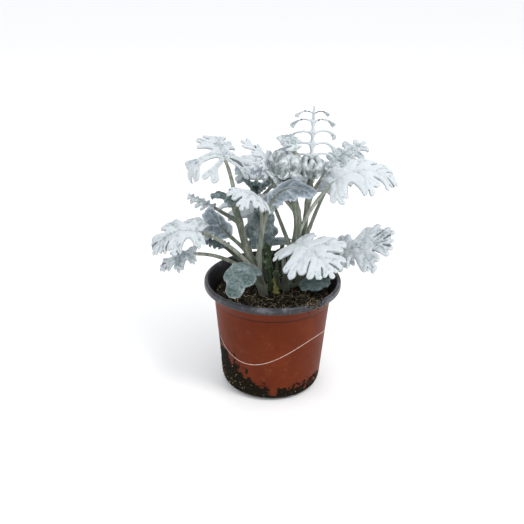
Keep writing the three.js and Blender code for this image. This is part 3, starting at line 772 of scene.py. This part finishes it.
# %% Rows of the leaves
COLUMNS = "stem at turn rise stalk stalk_bend blade blade_bend width form across roll felt".split()
LEAVES = [
    # upper right: the upright frond, the big spread leaf, and those round them
    ("right", 0.93, 104, 90, 15, -8, 47, 12, 50, "frond", (10, 60, 60), -8, 0.6),
    ("middle", 0.42, 4, 80, 59, 33, 57, 98, 58, "broad", (10, 60, 40), 18, 1.0),
    ("right", 0.84, 42, 57, 29, 19, 44, 42, 30, "young", (0, 70, 60), 18, 0.9),
    ("right", 0.45, 56, 62, 56, 20, 46, 80, 36, "broad", (8, 50, 30), 0, 0.9),
    # over the middle
    ("middle", 0.84, 175, 57, 15, -2, 42, 34, 23, "broad", (15, 40, 30), -32, 0.95),
    ("middle", 0.72, 173, 46, 35, -9, 19, 65, 23, "small", (5, 90, 40), 35, 0.9),
    ("left", 0.24, 14, 99, 66, 28, 41, 130, 24, "round", (-20, 30, 0), -95, 0.78),
    ("back", 0.25, 205, 95, 25, 11, 34, 12, 39, "round", (5, 15, 0), -73, 0.38),
    ("middle", 0.4, 150, 64, 36, 0, 20, 70, 26, "small", (5, 60, 30), 0, 0.7),
    # upper left
    ("left", 0.86, 114, 82, 40, 53, 28, 4, 77, "arms", (10, 110, 30), 11, 0.9),
    ("left", 0.35, 241, 124, 52, 52, 35, 131, 40, "small", (5, 40, 25), -21, 0.98),
    ("left", 0.74, 157, 20, 22, -2, 24, 21, 15, "young", (0, 70, 60), 2, 0.85),
    ("left", 0.5, 165, 30, 16, -14, 28, -7, 29, "round", (-15, 30, 10), 86, 0.7),
    # low on the left
    ("left", 0.25, 186, 69, 64, 49, 45, 93, 43, "broad", (8, 50, 30), -26, 0.86),
    ("left", 0.22, 180, 61, 61, 64, 32, 52, 26, "broad", (5, 40, 20), -34, 0.75),
    ("left", 0.22, 245, 86, 35, 60, 38, 103, 31, "round", (0, 20, 10), -9, 0.22),
    ("left", 0.24, 143, 44, 42, 24, 20, 50, 14, "young", (5, 50, 30), 0, 0.3),
    # low on the right
    ("middle", 0.25, 303, 130, 39, 110, 53, 58, 58, "broad", (6, 32, 18), 18, 1.0),
    ("right", 0.25, 343, 54, 46, 26, 43, 12, 53, "broad", (8, 40, 20), 29, 0.78),
    ("middle", 0.2, 346, 23, 11, 7, 25, 13, 25, "round", (5, 20, 10), 11, 0.05),
    # the far side
    ("back", 0.35, 110, 60, 40, 25, 52, 90, 54, "small", (8, 50, 30), 0, 0.95),
    ("back", 0.56, 62, 62, 40, 20, 50, 92, 50, "small", (8, 52, 30), 0, 0.95),
    ("back", 0.3, 165, 55, 48, 30, 50, 80, 50, "small", (8, 50, 30), 0, 0.85),
    ("right", 0.3, 60, 16, 42, 6, 50, 60, 48, "small", (8, 50, 30), 0, 0.8),
    ("back", 0.9, 95, 60, 16, 10, 42, 80, 44, "small", (10, 60, 40), 0, 1.0),
    ("back", 0.86, 10, 54, 18, 10, 38, 70, 36, "small", (10, 60, 40), 0, 0.95),
    ("back", 0.2, 80, 70, 34, 60, 44, 60, 34, "round", (5, 20, 10), 0, 0.3),
    ("right", 0.34, 24, 30, 36, 30, 42, 60, 42, "small", (5, 40, 20), 0, 0.8),
    ("middle", 0.93, 130, 110, 27, 14, 21, 160, 16, "young", (0, 70, 60), 0, 0.8),
]
leaves = [dict(zip(COLUMNS, row)) for row in LEAVES]
front_leaf = leaves[17]  # the big bright one, used below to show what each helper makes
print("leaves:", len(leaves), "on", len(STEMS), "stems")

# %% [markdown]
# ## The line a leaf grows along
#
# The stalk and the midrib are one line. It starts at the stem with a rise, loses some of it along
# the stalk and more along the blade. At every point it also knows which way is the leaf's left and
# which way its upper side faces, and a rolled leaf turns those two round the line.

# %% Growing line
def leaf_line(base, leaf):
    steps = 80
    length = leaf["stalk"] + leaf["blade"]
    step = length / steps
    distance = np.arange(steps + 1) * step
    on_stalk = np.minimum(1, distance / leaf["stalk"])
    on_blade = np.maximum(0, (distance - leaf["stalk"]) / leaf["blade"])
    rise = np.radians(leaf["rise"] - leaf["stalk_bend"] * on_stalk - leaf["blade_bend"] * on_blade)
    turn = math.radians(leaf["turn"])
    forward = np.cos(rise)
    along = np.stack([forward * math.cos(turn), forward * math.sin(turn), np.sin(rise)], 1)
    level = np.array([-math.sin(turn), math.cos(turn), 0.0])
    roll = np.radians(leaf["roll"] * on_stalk)[:, None]
    side = level * np.cos(roll) + np.cross(along, level) * np.sin(roll)
    up = np.cross(along, side)
    point = base + np.concatenate([np.zeros((1, 3)), np.cumsum(along[:-1] * step, axis=0)])

    def at(distances):
        place = np.clip(distances / step, 0, steps)
        k = np.minimum(steps - 1, place.astype(int))
        rest = (place - k)[:, None]
        found = [rows[k] * (1 - rest) + rows[k + 1] * rest for rows in (point, along, side, up)]
        found[0] = found[0] + found[1] * (distances - place * step)[:, None]
        return found

    return at


def bend_blade(at, leaf, flat):
    """Puts points of the flat blade, x along the midrib and y to its left, on the bent blade."""
    centre, _, side, up = at(leaf["stalk"] + flat[:, 0])
    cup, droop, curl = leaf["across"]
    steps = 10
    reach = np.abs(flat[:, 1])
    out, lift = np.zeros(len(flat)), np.zeros(len(flat))
    for k in range(steps):
        share = (k + 0.5) / steps * reach / (leaf["width"] / 2)
        slope = np.radians(cup - droop * share - curl * share ** 3)
        out += np.cos(slope) * reach / steps
        lift += np.sin(slope) * reach / steps
    return centre + side * (np.sign(flat[:, 1]) * out)[:, None] + up * lift[:, None]


front_length = front_leaf["stalk"] + front_leaf["blade"]
front_tip = leaf_line(np.zeros(3), front_leaf)(np.array([front_length]))[0][0]
print("the big front leaf's tip, in mm from its foot:", front_tip.round(1))

# %% [markdown]
# ## The outline of a blade
#
# Each lobe is drawn along its side vein: a waist if it has one, then an arc for each round finger
# with a notch between two. A curve drawn by hand would look as good, but only for one leaf.

# %% Fingers and lobes
def fingers_of(count, radius):
    """Fingers and the notches between them, on a vein that is 1 long.

    A finger is its place along and across the vein, its turn, its radius, and the span of its arc.
    """
    if count == 1:
        span = 62 if radius < 0.25 else 80 if radius < 0.33 else 42
        return [(0.99 - radius, 0, 0, radius, span)], []
    if count == 2:
        return [(0.86, 0.155, 24, 1.05 * radius, 82), (0.84, -0.155, -26, radius, 82)], [(0.77, 0)]
    outer = 0.9 * radius
    return ([(0.72, 0.24, 38, outer, 80), (0.87, 0, 0, radius, 72), (0.72, -0.24, -38, outer, 80)],
            [(0.745, 0.105), (0.745, -0.105)])


def on_vein(vein, along, across=0.0):
    """A point of the flat blade, along and beside a side vein that turns by its hook."""
    steps = 6
    x, y = vein["x"], 0.0
    for k in range(steps):
        heading = vein["angle"] + vein["hook"] * along * (k + 0.5) / steps
        x += vein["reach"] * along * math.cos(heading) / steps
        y += vein["reach"] * along * math.sin(heading) / steps
    heading = vein["angle"] + vein["hook"] * along
    beside = vein["reach"] * across
    return (x - beside * math.sin(heading), y + beside * math.cos(heading))


def lobe_outline(vein):
    fingers, notches = fingers_of(vein["fingers"], vein["roundness"])
    outline = []
    if vein["waist"]:
        first, last, half = vein["waist"]
        waist = [first, (first + last) / 2, last]
        outline += [on_vein(vein, place, half) for place in waist]
    for k, (along, across, turn, share, span) in enumerate(fingers):
        x, y = on_vein(vein, along, across)
        radius = vein["reach"] * share
        heading = vein["angle"] + math.radians(turn) + vein["hook"] * along
        for angle in heading + np.radians(np.linspace(span, -span, 7)):
            outline.append((x + radius * math.cos(angle), y + radius * math.sin(angle)))
        if k < len(notches):
            outline.append(on_vein(vein, *notches[k]))
    if vein["waist"]:
        outline += [on_vein(vein, place, -half) for place in waist[::-1]]
    return outline


trial = dict(x=0.0, angle=math.pi / 2, reach=10.0, fingers=3, roundness=0.14, hook=0.0, waist=None)
print("points round a lobe with three fingers:", len(lobe_outline(trial)))

# %% [markdown]
# The lobes are strung together from the stalk to the tip, with a notch between two. Each half gets
# its own veins: every lobe is a little longer or shorter than its neighbour and turned a little,
# because no leaf has two equal halves.

# %% Half an outline
HALF_NECK = 1.3  # the blade's half width where the stalk enters it


def side_veins(leaf, chance):
    form, half = FORMS[leaf["form"]], leaf["width"] / 2
    return [dict(x=leaf["blade"] * place, angle=math.radians(angle + chance.normal(0, 2.5)),
                 reach=half * reach * chance.uniform(0.92, 1.07), fingers=fingers,
                 roundness=form["roundness"] * chance.uniform(0.92, 1.04),
                 hook=math.radians(form.get("hook", 0)),
                 waist=form.get("waist") if reach > 0.55 else None)
            for place, angle, reach, fingers in form["lobes"]]


def tip_vein(leaf):
    form = FORMS[leaf["form"]]
    roundness = form["roundness"]
    if form["tip_fingers"] == 1:
        roundness = max(1.15 * roundness, 0.3)
    return dict(x=leaf["blade"] * form["tip"], angle=0.0, reach=leaf["blade"] * (1 - form["tip"]),
                fingers=form["tip_fingers"], roundness=roundness, hook=0.0, waist=None)


def half_outline(veins, tip, cut):
    """One half of the outline, from the neck to the last notch."""
    outline = [(0.0, HALF_NECK)]
    for vein, following, share in zip(veins, [*veins[1:], tip], np.broadcast_to(cut, len(veins))):
        outline += lobe_outline(vein)
        foot = (vein["x"] + following["x"]) / 2
        heading = (vein["angle"] + following["angle"]) / 2
        room = min(vein["reach"], following["reach"]) if following is not tip else vein["reach"]
        off_midrib = 1.0 / max(0.3, math.sin(heading))  # so that a notch never cuts the midrib
        depth = max(share * room, off_midrib)
        outline.append((foot + depth * math.cos(heading), depth * math.sin(heading)))
    return outline


front_veins = side_veins(front_leaf, np.random.default_rng(1))
front_half = half_outline(front_veins, tip_vein(front_leaf), FORMS[front_leaf["form"]]["cut"])
print("the big front leaf: lobes on a side", len(front_veins), "points on half its outline",
      len(front_half))

# %% [markdown]
# The corners are softened by cutting each of them off, twice. Even spacing comes next, because the
# triangles inside a blade are only as regular as the points on its edge. A fine ripple then takes
# away the look of drawn arcs. The veins and finger tips are kept with the outline, for the relief.

# %% Soft and even outline
def cut_corners(loop, times):
    for _ in range(times):
        following = np.roll(loop, -1, axis=0)
        near, far = 0.75 * loop + 0.25 * following, 0.25 * loop + 0.75 * following
        loop = np.stack([near, far], 1).reshape(-1, 2)
    return loop


def evenly_spaced(loop, spacing):
    closed = np.concatenate([loop, loop[:1]])
    run = np.concatenate([[0], np.cumsum(np.linalg.norm(np.diff(closed, axis=0), axis=1))])
    stops = np.linspace(0, run[-1], max(12, round(run[-1] / spacing)), endpoint=False)
    return np.stack([np.interp(stops, run, closed[:, k]) for k in (0, 1)], 1)


def blade_outline(leaf, chance):
    """The outline as an evenly spaced loop, the veins as short stretches, and the finger tips."""
    form = FORMS[leaf["form"]]
    tip = tip_vein(leaf)
    left, right = side_veins(leaf, chance), side_veins(leaf, chance)
    first_half = half_outline(left, tip, form["cut"])
    mirrored = [(x, -y) for x, y in half_outline(right, tip, form["cut"])][::-1]
    loop = np.array([(-0.6, 0.0), *first_half, *lobe_outline(tip), *mirrored])
    spacing = min(0.75, leaf["blade"] / 45)
    veins = [((0.0, 0.0), (tip["x"] + 0.9 * tip["reach"], 0.0))]
    tips = []
    for half, sign in ((left, 1), (right, -1), ([tip], 1)):
        for vein in half:
            stops = [on_vein(vein, share) for share in np.linspace(0, 0.88, 6)]
            stretches = list(zip(stops, stops[1:]))
            fingers = fingers_of(vein["fingers"], vein["roundness"])[0]
            fork = on_vein(vein, 0.42)
            for along, across, *_ in fingers:
                x, y = on_vein(vein, along, across)
                tips.append((x, sign * y))
                if across:
                    stretches.append((fork, on_vein(vein, 1.02 * along, 1.05 * across)))
            veins += [((a[0], sign * a[1]), (b[0], sign * b[1])) for a, b in stretches]
    loop = evenly_spaced(cut_corners(loop, 2), spacing)
    along = np.roll(loop, -1, axis=0) - np.roll(loop, 1, axis=0)
    outward = np.stack([along[:, 1], -along[:, 0]], 1) / np.linalg.norm(along, axis=1)[:, None]
    loop = loop + 0.16 * outward * ripple(loop, 3.2, chance.integers(1 << 30))[:, None]
    return loop, veins, np.array(tips), spacing


loop, veins, tips, spacing = blade_outline(front_leaf, np.random.default_rng(1))
print("the big front leaf: outline points", len(loop), "stretches of vein", len(veins),
      "fingers", len(tips))

# %% [markdown]
# ## From outline to skin
#
# Blender could fill the outline with one many-sided face, but that can't bend or show veins. A
# constrained Delaunay triangulation takes the outline and a honeycomb of points inside it and gives
# even triangles up to the edge. Two distances are kept for each point: to the edge, and to the
# nearest vein. They shape everything that follows, and the finishes read them too.

# %% Fill an outline
def distance_to(points, starts, ends):
    """From each point to the nearest of the stretches, in blocks that fit in memory."""
    along = ends - starts
    length = np.maximum((along ** 2).sum(1), 1e-9)
    nearest = np.full(len(points), 1e9)
    block = 600
    for first in range(0, len(points), block):
        rows = points[first:first + block, None] - starts[None]
        share = np.clip((rows * along[None]).sum(2) / length, 0, 1)
        gap = np.linalg.norm(rows - share[..., None] * along[None], axis=2)
        nearest[first:first + block] = gap.min(1)
    return nearest


def inside_of(loop, points):
    """Whether a ray to the right of a point crosses the loop an odd number of times."""
    x, y = points[:, 0][:, None], points[:, 1][:, None]
    x0, y0 = loop.T[:, None]
    x1, y1 = np.roll(loop, -1, axis=0).T[:, None]
    crosses = (y0 > y) != (y1 > y)
    rise = np.where(y1 == y0, 1e-9, y1 - y0)
    return (crosses & (x < (x1 - x0) * (y - y0) / rise + x0)).sum(1) % 2 == 1


def fill_outline(loop, spacing):
    low, high = loop.min(0), loop.max(0)
    apart = spacing * 1.12  # between points of the honeycomb
    ys = np.arange(low[1], high[1], apart * 0.87)
    comb = np.array([(x, y) for k, y in enumerate(ys)
                     for x in np.arange(low[0] + (k % 2) * apart / 2, high[0], apart)])
    comb = comb[inside_of(loop, comb)]
    comb = comb[distance_to(comb, loop, np.roll(loop, -1, axis=0)) > 0.55 * spacing]
    flat = np.concatenate([loop, comb])
    border = list(range(len(loop)))
    made = delaunay_2d_cdt([Vector(xy) for xy in flat.tolist()], [], [border], 1, 1e-5)
    return np.array([tuple(v) for v in made[0]]), np.array([f for f in made[2] if len(f) == 3])


flat, triangles = fill_outline(loop, spacing)
print("the big front leaf: points", len(flat), "triangles a side", len(triangles))

# %% [markdown]
# ## Blade, veins and felt
#
# A felted leaf is quilted: the skin puffs up between the veins, the veins lie in soft grooves on
# top and stand out underneath, and the edge turns down. The tips of young lobes are still curled up
# into knobs. All this is one height for each point. Displacement in the finish would be less work,
# but it leaves the mesh flat for other programs. Each form has its own look: the puff between veins,
# the knob at each finger, the thickness, how far the edge turns down, how crumpled it is, and how
# much darker its felt is painted away from the knobs, as shade between the bumps (where that number
# is negative, the knobs are painted darker instead).

# %% Relief of a blade
LOOK_COLUMNS = "puff knob thickness turned_edge crumple bare".split()
LOOK_OF_FORM = {
    "broad": (0.85, 0.6, 0.85, 1.1, 0.16, 0),
    "small": (0.85, 0.6, 0.85, 1.1, 0.16, 0),
    "arms": (0.8, 0.9, 1.1, 1.2, 0.15, 0.1),
    "frond": (0.5, 1.6, 1.2, 0.8, 0.1, -0.38),
    "bud": (1.7, 1.4, 1.7, 1.8, 0.08, 0.3),
    "young": (0.5, 2.8, 1.5, 0.8, 0.12, 0.22),
    "round": (0.45, 0.0, 0.8, 0.5, 0.12, 0),
}


def relief(leaf, look, flat, edge, vein, seed):
    """How far the skin stands off the bent sheet, from the distances to the edge and a vein."""
    share_out = np.minimum(1, np.abs(flat[:, 1]) / (leaf["width"] / 2))
    height = look["puff"] * (1 - np.exp(-(vein / 1.9) ** 2)) * (1 - np.exp(-edge / 1.1))
    height -= look["turned_edge"] * np.exp(-edge / 0.9) * np.clip(flat[:, 0] / 6, 0, 1)
    wave = ripple(flat, 15, seed + 5)
    height += (0.35 + 0.75 * share_out) * wave * np.clip(flat[:, 0] / 8, 0, 1)
    creases = ripple(flat, 4.2, seed + 6) + 0.5 * ripple(flat, 2.1, seed + 7)
    height += look["crumple"] * creases * (1 - np.exp(-edge / 0.9))
    return height


looks = {form: dict(zip(LOOK_COLUMNS, row)) for form, row in LOOK_OF_FORM.items()}
to_edge = distance_to(flat, loop, np.roll(loop, -1, axis=0))
to_vein = distance_to(flat, *(np.array(rows) for rows in zip(*veins)))
trial = relief(front_leaf, looks[front_leaf["form"]], flat, to_edge, to_vein, 1)
print("the big front leaf's relief, in mm:", trial.min().round(1), "to", trial.max().round(1))

# %% [markdown]
# The height is added along the skin's own direction, after the sheet has been bent. The sheet has
# two faces, which meet in one row of points, so that the edge is round and closed. A Solidify
# modifier would give the second face too, but not a finish and a relief of its own.

# %% Skin of a blade
def skin_directions(points, triangles):
    corner = points[triangles]
    face = np.cross(corner[:, 1] - corner[:, 0], corner[:, 2] - corner[:, 0])
    total = np.zeros_like(points)
    for k in range(3):
        np.add.at(total, triangles[:, k], face)
    return total / np.maximum(np.linalg.norm(total, axis=1), 1e-9)[:, None]


def blade_part(base, leaf, seed):
    """The blade as a closed skin: finish 0 on top and 1 underneath."""
    look = looks[leaf["form"]]
    closed = leaf["blade_bend"] < -90  # a young leaf that is still curled inwards, underside out
    loop, veins, tips, spacing = blade_outline(leaf, np.random.default_rng(seed))
    flat, triangles = fill_outline(loop, spacing)
    edge = distance_to(flat, loop, np.roll(loop, -1, axis=0))
    starts, ends = (np.array(rows) for rows in zip(*veins))
    vein = distance_to(flat, starts, ends)
    knob_size = 0.09 * leaf["width"] + 0.5
    nearness = sum(np.exp(-((flat - tip) ** 2).sum(1) / knob_size ** 2) for tip in tips)
    in_knob = np.minimum(1, nearness)
    knobs = look["knob"] * in_knob
    height = relief(leaf, look, flat, edge, vein, seed) + knobs
    if closed:
        height = -height  # so its knobs stand out on the underside

    round_edge = np.sqrt(np.clip(1 - (1 - np.minimum(1, edge / 0.9)) ** 2, 0, 1))
    half = 0.5 * look["thickness"] * round_edge
    ridge = (0 if closed else 0.42) * np.exp(-(vein / 0.55) ** 2) * np.clip(edge / 1.5, 0, 1)
    middle = bend_blade(leaf_line(base, leaf), leaf, flat)
    facing = skin_directions(middle, triangles)
    top = middle + facing * (height + half)[:, None]
    under = middle + facing * (height - half - ridge - 0.25 * knobs * (half > 0))[:, None]

    # the two faces share the points on the edge, all others have a twin underneath
    inner = np.flatnonzero(edge >= 1e-3)
    twin = np.arange(len(flat))
    twin[inner] = len(flat) + np.arange(len(inner))
    points = np.concatenate([top, under[inner]])
    faces = np.concatenate([triangles, twin[triangles][:, ::-1]])
    finish = np.repeat([0, 1], len(triangles))

    # painted shade: away from the knobs the felt is lowered, so the gaps between the bumps look shaded
    felt = leaf["felt"] - look["bare"] * (1 - in_knob)
    if closed:
        # painted shade: a closed leaf is darker towards its base, deep inside the ball
        felt = felt - 0.22 * np.clip(1 - flat[:, 0] / leaf["blade"], 0, 1)
    facts = dict(near_vein=np.exp(-(vein / 0.75) ** 2), near_edge=np.exp(-edge / 1.3), felt=felt)
    facts = {key: np.concatenate([value, value[inner]]) for key, value in facts.items()}
    return part(points, faces, finish, **facts)


front_blade = blade_part(np.zeros(3), front_leaf, 1)
print("the big front leaf: points of its skin", len(front_blade["points"]), "size in mm",
      np.ptp(front_blade["points"], axis=0).round(1))

# %% [markdown]
# ## Stalks
#
# A leaf stalk is not a round wire: it is grooved on top, broad where it clasps the stem, and it runs
# on under the blade as the midrib. The tube's section gets a hollow for the groove and five faint
# ribs, and its radius flares over the last few millimetres to the stem.

# %% Stalk of a leaf
def grooved(angle):
    groove = 0.24 * np.exp(-((angle - math.pi / 2) / 0.5) ** 2)
    return 1 - groove + 0.045 * np.cos(5 * angle)


def stalk_part(base, leaf, seed):
    end = leaf["stalk"] + 0.72 * leaf["blade"]
    distance = np.linspace(0, end, max(14, round(end / 1.6)))
    centre, _, side, up = leaf_line(base, leaf)(distance)
    under_blade = np.clip((distance - leaf["stalk"]) / leaf["blade"], 0, 1)
    radius = np.interp(distance, [0, leaf["stalk"], leaf["stalk"] + 0.2 * leaf["blade"], end],
                       [1.8, 1.28, 0.85, 0.32])
    radius = radius + 1.2 * np.exp(-distance / 3.2)
    radius *= 1 + 0.05 * ripple(distance[:, None], 9, seed)
    centre = centre - up * (0.75 * radius * np.minimum(1, 8 * under_blade))[:, None]
    points, triangles = tube(centre, side, up, radius, grooved, 14)
    return part(points, triangles, 2, felt=leaf["felt"])


front_stalk = stalk_part(np.zeros(3), front_leaf, 1)
print("the big front leaf: points of its stalk", len(front_stalk["points"]))

# %% [markdown]
# ## Finishes of the plant
#
# The felt is what one sees. Where it is dense it hides the leaf, where it is thin the green shows
# through. So each finish mixes a leaf colour with a felt colour by a cover that is the leaf's own
# share of felt, changed near the veins, more on the edges, and broken by noise. On the silver tops it
# is less in the grooves, which paints shade there; underneath the veins are paler. Sheen gives the
# soft pale rim that short hairs make, and a fine bump keeps the light from lying on it as on paper.

# %% Finishes of leaves and stems
def felted(name, tones, cover_bias, vein_gain, edge_gain=0.3, squeeze_by=(1, 1, 1)):
    """Three tones, from the bare leaf over thin felt to dense felt."""
    leaf_tone, thin_tone, felt_tone = tones
    finish = new_finish(name, 0.92, sheen=0.3, specular=0.15)
    shader = finish.node_tree.nodes["Principled BSDF"]
    shader.inputs["Sheen Roughness"].default_value = 0.45
    shader.inputs["Sheen Tint"].default_value = (0.92, 0.95, 1, 1)
    cloud = swing(finish, 1.15, 95, 5, 0.68, squeeze_by)
    tufts = swing(finish, 1.3, 520, 5, 0.72, squeeze_by)
    # near the veins: a negative gain darkens the grooves (painted shade on the silver tops), a positive
    # one makes the veins paler
    vein = maths(finish, "MULTIPLY", of_mesh(finish, "near_vein"), vein_gain)
    vein = maths(finish, "MULTIPLY", vein, of_mesh(finish, "felt"))
    edge = maths(finish, "MULTIPLY", of_mesh(finish, "near_edge"), edge_gain)
    cover = maths(finish, "ADD", of_mesh(finish, "felt"), cover_bias)
    for share in (cloud, tufts, vein, edge):
        cover = maths(finish, "ADD", cover, share)
    thin = two_tone(finish, step_up(finish, cover, 0.0, 0.55), leaf_tone, thin_tone)
    colour = two_tone(finish, step_up(finish, cover, 0.35, 1.0), thin, felt_tone)
    hairs = maths(finish, "MULTIPLY", noise_of(finish, 1500, 3, 0.7), 0.45)
    nap = maths(finish, "ADD", hairs, maths(finish, "MULTIPLY", noise_of(finish, 380, 4, 0.6), 1.2))
    colour_and_bump(finish, colour, nap, 0.6, 0.0011)
    return finish


# on top the negative vein gain paints shade into the grooves
felt_top = felted("silver leaf felt",
                  [(0.040, 0.072, 0.062), (0.17, 0.22, 0.23), (0.585, 0.632, 0.655)], 0.03, -0.2)
felt_under = felted("slate leaf underside",
                    [(0.05, 0.08, 0.08), (0.17, 0.21, 0.235), (0.42, 0.475, 0.53)], -0.34, 0.4, 0.75)
felt_young = felted("young leaf felt",
                    [(0.05, 0.08, 0.07), (0.16, 0.19, 0.19), (0.60, 0.645, 0.665)], -0.32, 0.3, 0.5)
stalk_felt = felted("grey-green stalk felt",
                    [(0.072, 0.083, 0.054), (0.142, 0.160, 0.120), (0.40, 0.42, 0.36)], -0.28, 0.0,
                    squeeze_by=(2.4, 2.4, 0.25))
print("plant finishes:", felt_top.name, felt_under.name, felt_young.name, stalk_felt.name)

# %% [markdown]
# ## Stems and crowns
#
# The stems are soft and pale, ribbed lengthwise, with a swelling where each leaf grows out. At the
# tip sits the crown, a knot of young leaves that haven't unfolded yet: the biggest one is a ball of
# thick knobs. The crown's leaves are made just as the large ones are, with the stem as one piece.

# %% Stems with their crowns
def stem_points(stem, shares):
    """A smooth line through the stem's points, as a Catmull-Rom curve gives it."""
    knots = np.array([(*xy, z) for xy, z in zip(stem["line"], stem["heights"])], float)
    knots = np.concatenate([[2 * knots[0] - knots[1]], knots, [2 * knots[-1] - knots[-2]]])
    place = np.clip(shares, 0, 1) * (len(knots) - 3)
    k = np.minimum(len(knots) - 4, place.astype(int))
    t = (place - k)[:, None]
    a, b, c, d = (knots[k + n] for n in range(4))
    bend, twist = 2 * a - 5 * b + 4 * c - d, 3 * b - a - 3 * c + d
    return 0.5 * (2 * b + (c - a) * t + bend * t ** 2 + twist * t ** 3)


def ribbed(angle):
    return 1 + 0.05 * np.cos(6 * angle) + 0.03 * np.cos(11 * angle + 1)


STEM_STOPS, STEM_SIDES = 72, 22


def stem_part(name, stem):
    shares = np.linspace(0, 1, STEM_STOPS)
    centre = stem_points(stem, shares)
    along = np.gradient(centre, axis=0)
    along /= np.linalg.norm(along, axis=1)[:, None]
    side = np.cross([0, 1, 0], along)
    side /= np.linalg.norm(side, axis=1)[:, None]
    radius = np.interp(shares, [0, 1], stem["radii"])
    swollen = np.zeros(len(shares))
    for leaf in leaves:
        if leaf["stem"] == name:
            swelling = 0.4 * np.exp(-((shares - leaf["at"]) / 0.022) ** 2)
            swollen = np.maximum(swollen, swelling)
    up = np.cross(along, side)
    points, triangles = tube(centre, side, up, radius + swollen, ribbed, STEM_SIDES)
    share_up = np.append(np.repeat(shares, STEM_SIDES), [0, 1])  # the last two close the ends
    # the stem is darker towards its foot: partly the older stem's thinner felt, partly painted shade
    # low down
    return part(points, triangles, 2, felt=0.42 + 0.4 * share_up)


def crown_leaves(stem):
    """The young leaves: closed ones curl inwards to a ball, open ones arch outwards."""
    crown = stem["crown"]
    closed = crown["arch"] < 0
    for k in range(crown["leaves"]):
        turn = crown["first_turn"] + crown["round"] * k / crown["leaves"]
        size = 0.86 if closed and k % 2 else 1
        yield dict(turn=turn, rise=crown["rise"], stalk=1, stalk_bend=0,
                   blade=crown["length"] * size, blade_bend=crown["arch"],
                   width=crown["width"] * size, form="bud",
                   across=(0, -45, 0) if closed else (0, 70, 60),
                   roll=0, felt=1.16 if closed else 0.38)


for number, (name, stem) in enumerate(STEMS.items()):
    parts = [stem_part(name, stem)]
    for k, leaf in enumerate(crown_leaves(stem)):
        turn = math.radians(leaf["turn"])
        base = stem_points(stem, np.array([0.98]))[0]
        base = base + 0.7 * stem["radii"][1] * np.array([math.cos(turn), math.sin(turn), 0])
        parts.append(blade_part(base, leaf, 900 + 10 * number + k))
    piece = make_piece("stem_with_crown_" + name, parts, [felt_top, felt_young, stalk_felt],
                       ["stem_" + name])
    print(piece.name, len(piece.data.polygons), "triangles")

# %% [markdown]
# ## The large leaves
#
# With every helper in place a leaf is two parts, blade and stalk, and its row. Each leaf is a piece
# of its own, so that one could be taken off the plant.

# %% Large leaves
counts = dict.fromkeys(STEMS, 0)
for number, leaf in enumerate(leaves):
    counts[leaf["stem"]] += 1
    label = f"{leaf['stem']}_{counts[leaf['stem']]}"
    base = stem_points(STEMS[leaf["stem"]], np.array([leaf["at"]]))[0]
    parts = [blade_part(base, leaf, 100 + number), stalk_part(base, leaf, 300 + number)]
    piece = make_piece("felted_leaf_" + label, parts, [felt_top, felt_under, stalk_felt],
                       ["leaf_" + label])
print("large leaves:", sum(counts.values()), "last one has", len(piece.data.polygons), "triangles")

# %% [markdown]
# ## Small growth at the foot
#
# Between the stems a few green shoots stand in the shade, too young for felt, and two small leaves
# have turned yellow and shrivelled. They are leaves as well, so they need only rows of their own and
# a bare finish: green for the shoots, and a drier yellow for the two that have died.

# %% Shoots and a withered leaf
bare_green = felted("bare green leaf",
                    [(0.030, 0.050, 0.022), (0.055, 0.085, 0.040), (0.20, 0.24, 0.15)], -0.1, 0.4)
withered = felted("withered yellow leaf",
                  [(0.10, 0.085, 0.018), (0.22, 0.21, 0.045), (0.42, 0.38, 0.12)], 0.1, -0.4)

SMALL_COLUMNS = "x y turn rise stalk blade blade_bend width form roll".split()
SHOOTS = [
    (-1.5, -4, 150, 88, 16, 13, 30, 7, "bud", 10),
    (1.8, 1.5, 70, 82, 20, 15, 35, 8, "bud", -30),
    (4.6, -3, 250, 84, 12, 12, 30, 6, "bud", 40),
    (0.5, 5, 120, 80, 24, 14, 20, 8, "bud", 0),
]
DEAD = [
    (2.6, -8.5, 94, 70, 3, 13, 60, 9, "small", 50),
    (1.6, -6, 130, 60, 3, 9, 70, 8, "small", -40),
]


def small_growth(name, rows, finish):
    parts = []
    for row in rows:
        leaf = dict(zip(SMALL_COLUMNS, row), stalk_bend=15, across=(25, 60, 40), felt=0.45)
        x, y = leaf["x"], leaf["y"]
        base = np.array([x, y, soil_height(np.array([x]), np.array([y]))[0] - 0.8])
        parts += [blade_part(base, leaf, int(50 + 3 * abs(x))), stalk_part(base, leaf, 60)]
    return make_piece(name, parts, [finish] * 3)


small_growth("green_shoots", SHOOTS, bare_green)
small_growth("withered_leaf", DEAD, withered)
print("shoots:", len(SHOOTS), "withered:", len(DEAD))

# %% [markdown]
# ## Signs of use
#
# Some soil was spilled when the plant was potted. A little of it still sits on the rim and sticks to
# the wall, mostly low on one side. These are the same crumbs as on the soil.

# %% Spilled soil
ROLLS_OFF = 51.6  # the rim's top bends down from here outwards

chance = np.random.default_rng(77)
spilled = []
for _ in range(190):  # a small heap on the rim
    turn = chance.normal(36, 6.5)
    angle = math.radians(turn - 90)
    away = chance.uniform(49.4, 52.7)
    height = TOP if away < ROLLS_OFF else TOP - (away - ROLLS_OFF) * chance.uniform(1, 6)
    place = np.array([away * math.cos(angle), away * math.sin(angle), height])
    spilled.append(crumb(place, chance.uniform(0.2, 0.8), chance, 1.0))
for _ in range(420):  # stuck to the wall, most of it low down
    height = abs(chance.normal(0, 8)) + 2.5
    turn = np.array([chance.normal(-72, 26) if height > 7 else chance.uniform(-150, 60)])
    place = on_wall(turn, np.array([height]), 0.1)[0]
    if height < FOOT_HEIGHT:
        place[:2] *= 1 - 0.08 * (1 - height / FOOT_HEIGHT)
    spilled.append(crumb(place, chance.uniform(0.2, 0.65), chance, 0.6))
make_piece("spilled_soil", spilled, [crumb_finish])
print("spilled crumbs:", len(spilled))
